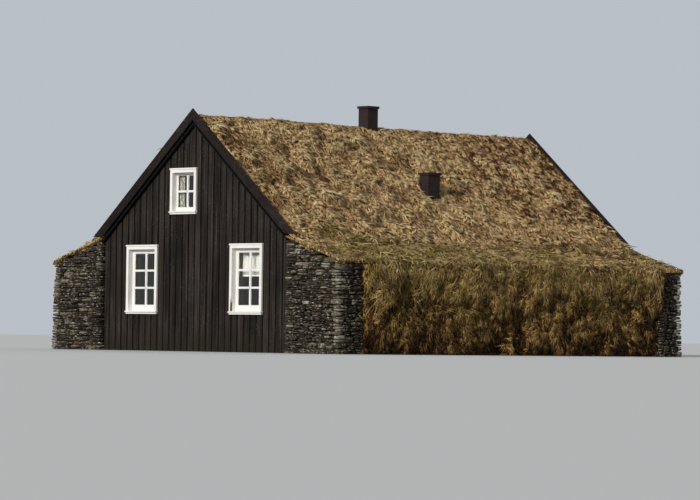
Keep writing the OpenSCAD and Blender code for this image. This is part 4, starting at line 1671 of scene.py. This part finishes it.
# %% [markdown]
# Grass on the roof
#
# The roof's grass is short, dry and combed down the slope. Light and dark follow the lumps
# of the sod as painted light on the crests and painted shade in the hollows: the mood reads
# the same noise that raised the mat. Where the roof runs out it is damper, so greener and longer.

# %% Tufts of the roof
def chimney_ground(node, before, around=0.05):
    """The ground that a chimney takes, with room before and around it."""
    low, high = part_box(node)
    return (low.x - before, high.x + around, low.y - around, high.y + around)


def roof_mood(spot):
    """Painted light on the crests and painted shade in the hollows, dull by the front apex and
    at the back, green where the roof runs out on the cap."""
    x, y = abs(spot[0]), spot[1]
    reach = 0.25 + 0.75 * math.exp(-((y + 4.5) / 1.5) ** 2)
    foot = max(0.0, 1 - (crease_x - x) / reach) if x < crease_x else 1.0
    crest = lump_at(spot, 0.3, 1.9) + 0.8 * lump_at(spot, 0.17, 1.9)
    apex = math.exp(-((y + 5.4) / 0.9) ** 2 - (x / 2.0) ** 2)
    back = clamped((y - 1.0) / 2)
    # painted light and shade: the tone rises on the crests of the lumps and falls in their hollows
    tone = 0.32 + 2.1 * crest + 0.5 * patch(spot, 1.1, 2.0) - 0.75 * apex - 0.9 * back
    green = 0.9 * foot + 0.5 * patch(spot, 0.5, 4.0) + 0.7 * apex
    return tone, green, (0.88 + 0.3 * foot + 0.7 * crest) * min(1.0, 0.65 + x)


roof_inside_low, roof_inside_high = inside_low.copy(), inside_high.copy()
roof_inside_low[1], roof_inside_high[1] = roof_low.y + 0.003, roof_high.y - 0.003
taken = {1: [chimney_ground("ridge_chimney", 0.05), chimney_ground("slope_chimney", 0.14)],
         -1: [chimney_ground("ridge_chimney", 0.05)]}
for side, word in flanks:
    grass = plant(word + "_roof_grass", word + "_roof_sod", combed, 4200, 500 + side,
                  lambda at, n: (n[:, 2] > 0.35) & (np.abs(at[:, 0]) < crease_x + 0.25), (0.75, 1.25),
                  roof_mood, roof_inside_low, roof_inside_high, spin=0.22, scatter=0.42, sink=0.005,
                  wind=0.7, keep_off=taken[side])
    keep(grass, blades["roof"], "roof_turf")

# %% [markdown]
# Grass on the flank walls
#
# On a wall grass grows out of the joints between the sods and falls down over them in
# shaggy bunches. Its heads catch the light and the hollows between the bunches are nearly
# black. The mood paints that shade into the tone, darker the deeper a spot lies behind the
# stones, and makes the tone lighter with height.

# %% Tufts of the flank walls
def wall_mood(spot):
    """Pale heads on the lumps, dark and short in the hollows, and painted shade the deeper a spot lies behind
    the stones.
    """
    depth, height = (wall_foot_x - 0.02 - abs(spot[0])) / 0.25, spot[2] / wall_brow_z
    clump = patch(spot, 0.35, 7.0)
    green = 0.6 * patch(spot, 0.6, 9.0) + 0.5 * height - 0.35
    # painted shade: the tone falls the deeper a spot lies behind the stones
    return 0.5 * height - 0.08 - 1.6 * depth + 1.2 * clump, green, 1.1 + 0.5 * clump


wall_inside_low = inside_low.copy()
wall_inside_low[2] = 0.0
for side, word in flanks:
    grass = plant(word + "_wall_grass", word + "_wall_sod", shaggy, 2350, 520 + side,
                  lambda at, n: (n[:, 0] * side > 0.1) & (np.abs(at[:, 0]) > 4.3), (0.75, 1.3),
                  wall_mood, wall_inside_low, inside_high, spin=0.7, scatter=0.65)
    keep(grass, blades["wall"], "wall_turf")

# %% [markdown]
# Grass on the caps
#
# The cap is the greenest part, for the wall under it keeps the wet, and it has three kinds
# of growth: grass lying on its top, a fringe of long blades that hangs over the brow, and
# wisps that hang on down the wall. Near the stones and at the ends the grass is short.

# %% Tufts of the caps
rim_x = cap_line[top_steps - 3].x


def cap_mood(spot):
    """Drier towards the back, greener in the middle."""
    x, y = spot[0], spot[1]
    dry_back = clamped((y - 1.5) / 2)
    dry_edge = clamped((-y - 5.5) / 0.25)
    clump = patch(spot, 0.3, 5.0)
    short = 0.45 if abs(y) > cap_end - 0.12 or abs(x) > rim_x and abs(y) > stone_y else 1.0
    green = 0.35 - 0.7 * dry_back - 0.8 * dry_edge
    return 0.1 + 0.5 * clump + 0.25 * dry_edge - 0.2 * dry_back, green, short * (1 + 0.3 * clump)


def fringe_mood(spot):
    """As on the cap, with long wisps by the front corner."""
    tone, green, size = cap_mood(spot)
    wisps = math.exp(-((spot[1] + 4.4) / 1.3) ** 2)
    return tone + 0.2 * wisps, green, size * (1 + 0.5 * wisps)


def on_top(at, n):
    """The cap's top beside the roof and beyond the gables."""
    beside = (np.abs(at[:, 0]) > crease_x - 0.1) | (np.abs(at[:, 1]) > gable_back + 0.16)
    return beside & (n[:, 2] > np.where(np.abs(at[:, 1]) > stone_y, 0.3, -0.2))


for side, word in flanks:
    cap_sod, finish = word + "_cap_sod", blades[word + " cap"]
    top = plant(word + "_cap_grass", cap_sod, lying, 1600, 540 + side, on_top, (0.7, 1.2), cap_mood,
                inside_low, inside_high, spin=0.6, scatter=0.65)
    keep(top, finish, "cap_turf")
    fringe = plant(word + "_cap_fringe", cap_sod, hanging, 620, 560 + side,
                   lambda at, n: (n[:, 0] * side > 0.4) & (n[:, 2] > -0.6) & (np.abs(at[:, 1]) < stone_y),
                   (0.8, 1.4), fringe_mood, inside_low, inside_high, spin=0.45)
    keep(fringe, finish, "cap_turf")
    wisps = plant(word + "_wall_wisps", word + "_wall_sod", hanging, 380, 580 + side,
                  lambda at, n: (n[:, 0] * side > 0.2) & (at[:, 2] > 1.3),
                  (0.6, 1.1), fringe_mood, inside_low, inside_high)
    keep(wisps, finish, "wall_turf")

# %% [markdown]
# Under the barge boards
#
# Behind each barge board the roof's edge is closed by a batten, set a little back so that
# the board throws a dark line there, and tarred near black as painted shade in that slot.
# Turning a block by the pitch would leave slanted ends that have to be cut. So a block is laid
# level, and its outer end is then pulled down by the fall of the slope, which keeps both ends
# upright.

# %% Verge battens
deck_low, deck_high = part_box("right_roof_deck")
batten_l, batten_low, batten_high = 2.95, deck_high.z - 0.03, deck_high.z + 0.16
batten_in, batten_out = 0.06, 0.035


def verge_battens(name, y0, y1):
    """Two battens that meet under the ridge, between the turf and the deck."""
    parts = []
    for side, word in flanks:
        x0, x1 = sorted((0.0, side * batten_l))
        batten = block("batten", (x0, y0, batten_low), (x1, y1, batten_high))
        edit(batten)
        pick_faces(batten, lambda at, n: n.x * side > 0.9 and abs(at.x) > 1)
        bpy.ops.transform.translate(value=(0, 0, -batten_l * math.tan(pitch)))
        bpy.ops.object.mode_set(mode="OBJECT")
        parts.append(batten)
    # painted shade: the battens take the near-black tar
    return keep(join(parts, name), tar_in_painted_shade, "tarred_boards")


verge_battens("front_verge_battens", deck_low.y + batten_out, deck_low.y + batten_in)
verge_battens("back_verge_battens", deck_high.y - batten_in, deck_high.y - batten_out)

# %% [markdown]
# Nodes that keep their CAD shape
#
# Barge boards, window frames, glass, chimneys and the inner timber are right as solids.
# They get their material, and the ones in sight get a fine bevel, because no real edge is
# sharp. The loose triangles of a node are welded by a modifier first, so that the bevel
# finds its edges; both stay live and the node's own mesh isn't touched.

# %% Dress the nodes
def dress(node, finish, bevel):
    """A material and, where bevel isn't 0, a welded and bevelled look for a CAD node."""
    obj = nodes[node]
    obj.data.materials.clear()
    obj.data.materials.append(finish)
    if bevel:
        weld = obj.modifiers.new("Weld", "WELD")
        weld.merge_threshold = weld_reach
        soft = obj.modifiers.new("Bevel", "BEVEL")
        soft.width, soft.segments = bevel, 2
        soft.limit_method, soft.angle_limit = "ANGLE", math.radians(30)


finishes = (("barge_board", tar_slope, 0.004), ("casing", casing_paint, 0.003), ("sash", white_paint, 0.003),
            ("glass", glass, 0), ("chimney", chimney_black, 0.004), ("deck", wood_deck, 0),
            ("side_wall", wood_along, 0), ("ridge_beam", wood_along, 0), ("loft_floor", wood_along, 0),
            ("ground_floor", wood_across, 0), ("loft_joists", wood_across, 0), ("rafters", wood_across, 0))
for word, finish, bevel in finishes:
    named = [node for node in nodes if word in node]
    for node in named:
        dress(node, finish, bevel)
    print(finish.name, "on", len(named), "nodes with", word, "in their name")

# %% [markdown]
# The stage, the light and the camera
#
# The floor is pale and wide, and the sky that the camera sees is pale too, while a duller
# sky lights the house, so that colours come out about as they are written. One soft lamp,
# low in front of the gable, rakes over the roof and gives the grass its relief, and a weak
# one behind keeps the far sides readable. The camera stands where the photograph was taken
# from: low, far off, straight out from the near corner, with a long lens.

# %% The floor
def backdrop_rays(tree):
    """1 for the rays that show the backdrop: the camera's, and those that glass and shiny
    paint send on."""
    rays = add(tree, "LightPath").outputs
    return math_of(tree, "MAXIMUM", rays["Is Camera Ray"],
                   math_of(tree, "MAXIMUM", rays["Is Glossy Ray"], rays["Is Transmission Ray"]))


clear_hands()
bpy.ops.mesh.primitive_circle_add(vertices=96, radius=400, fill_type="NGON")
floor = bpy.context.object
floor.name = "studio_floor"
floor_paint, tree, shader, place = new_material("studio floor")
colour = blend(tree, backdrop_rays(tree), rgb(150, 147, 140), rgb(200, 201, 201))
coat(tree, shader, colour, 1.0, specular=0.0)
floor.data.materials.append(floor_paint)

# %% Sky and lamps
world = bpy.data.worlds.new("studio sky")
bpy.context.scene.world = world
world.use_nodes = True
tree = world.node_tree
tree.nodes.clear()
fill = add(tree, "Background", {"Color": (0.93, 0.96, 1.0, 1.0), "Strength": 0.33}).outputs[0]
pale = add(tree, "Background", {"Color": rgb(184, 190, 197), "Strength": 1.0}).outputs[0]
both = add(tree, "MixShader", {0: backdrop_rays(tree), 1: fill, 2: pale}).outputs[0]
add(tree, "OutputWorld", {"Surface": both})


def soft_lamp(name, energy, spread, colour, towards):
    """A sun lamp; towards is the direction from the house to the lamp."""
    lamp = bpy.data.lights.new(name, "SUN")
    lamp.energy, lamp.angle, lamp.color = energy, math.radians(spread), colour
    made = bpy.data.objects.new(name, lamp)
    bpy.context.scene.collection.objects.link(made)
    made.rotation_euler = Vector(towards).to_track_quat("Z", "Y").to_euler()
    print("lamp", name, "with energy", energy)


soft_lamp("soft_key", 2.9, 4.5, (1.0, 0.975, 0.94), (0.19, -0.91, 0.36))
soft_lamp("back_lamp", 0.9, 30, (0.96, 0.98, 1.0), (-0.55, 0.7, 0.45))

# %% Camera
camera_at = Vector((58.35, -58.62, 0.40))
yaw, rise, roll = math.radians(-45.21), math.radians(1.429), math.radians(0.763)
forward = Vector((math.sin(yaw) * math.cos(rise), math.cos(yaw) * math.cos(rise), math.sin(rise)))
right = Vector((math.cos(yaw), -math.sin(yaw), 0))
up = right.cross(forward)
right, up = (right * math.cos(roll) + up * math.sin(roll), up * math.cos(roll) - right * math.sin(roll))
eye = bpy.data.cameras.new("photo camera")
eye.sensor_width, eye.lens = 36.0, 177.4
eye.clip_end = 1000
camera = bpy.data.objects.new("photo_camera", eye)
bpy.context.scene.collection.objects.link(camera)
turn = Matrix((right, up, -forward)).transposed().to_4x4()
camera.matrix_world = Matrix.Translation(camera_at) @ turn
bpy.context.scene.camera = camera
bpy.context.scene.view_settings.view_transform = "Standard"
print("the camera looks along", forward, "with a lens of", eye.lens, "mm")

# %% Sizes, and the end
total = sum(added.values())
print("added pieces:", len(added), "with", total, "triangles, the most in one:", max(added.values()))
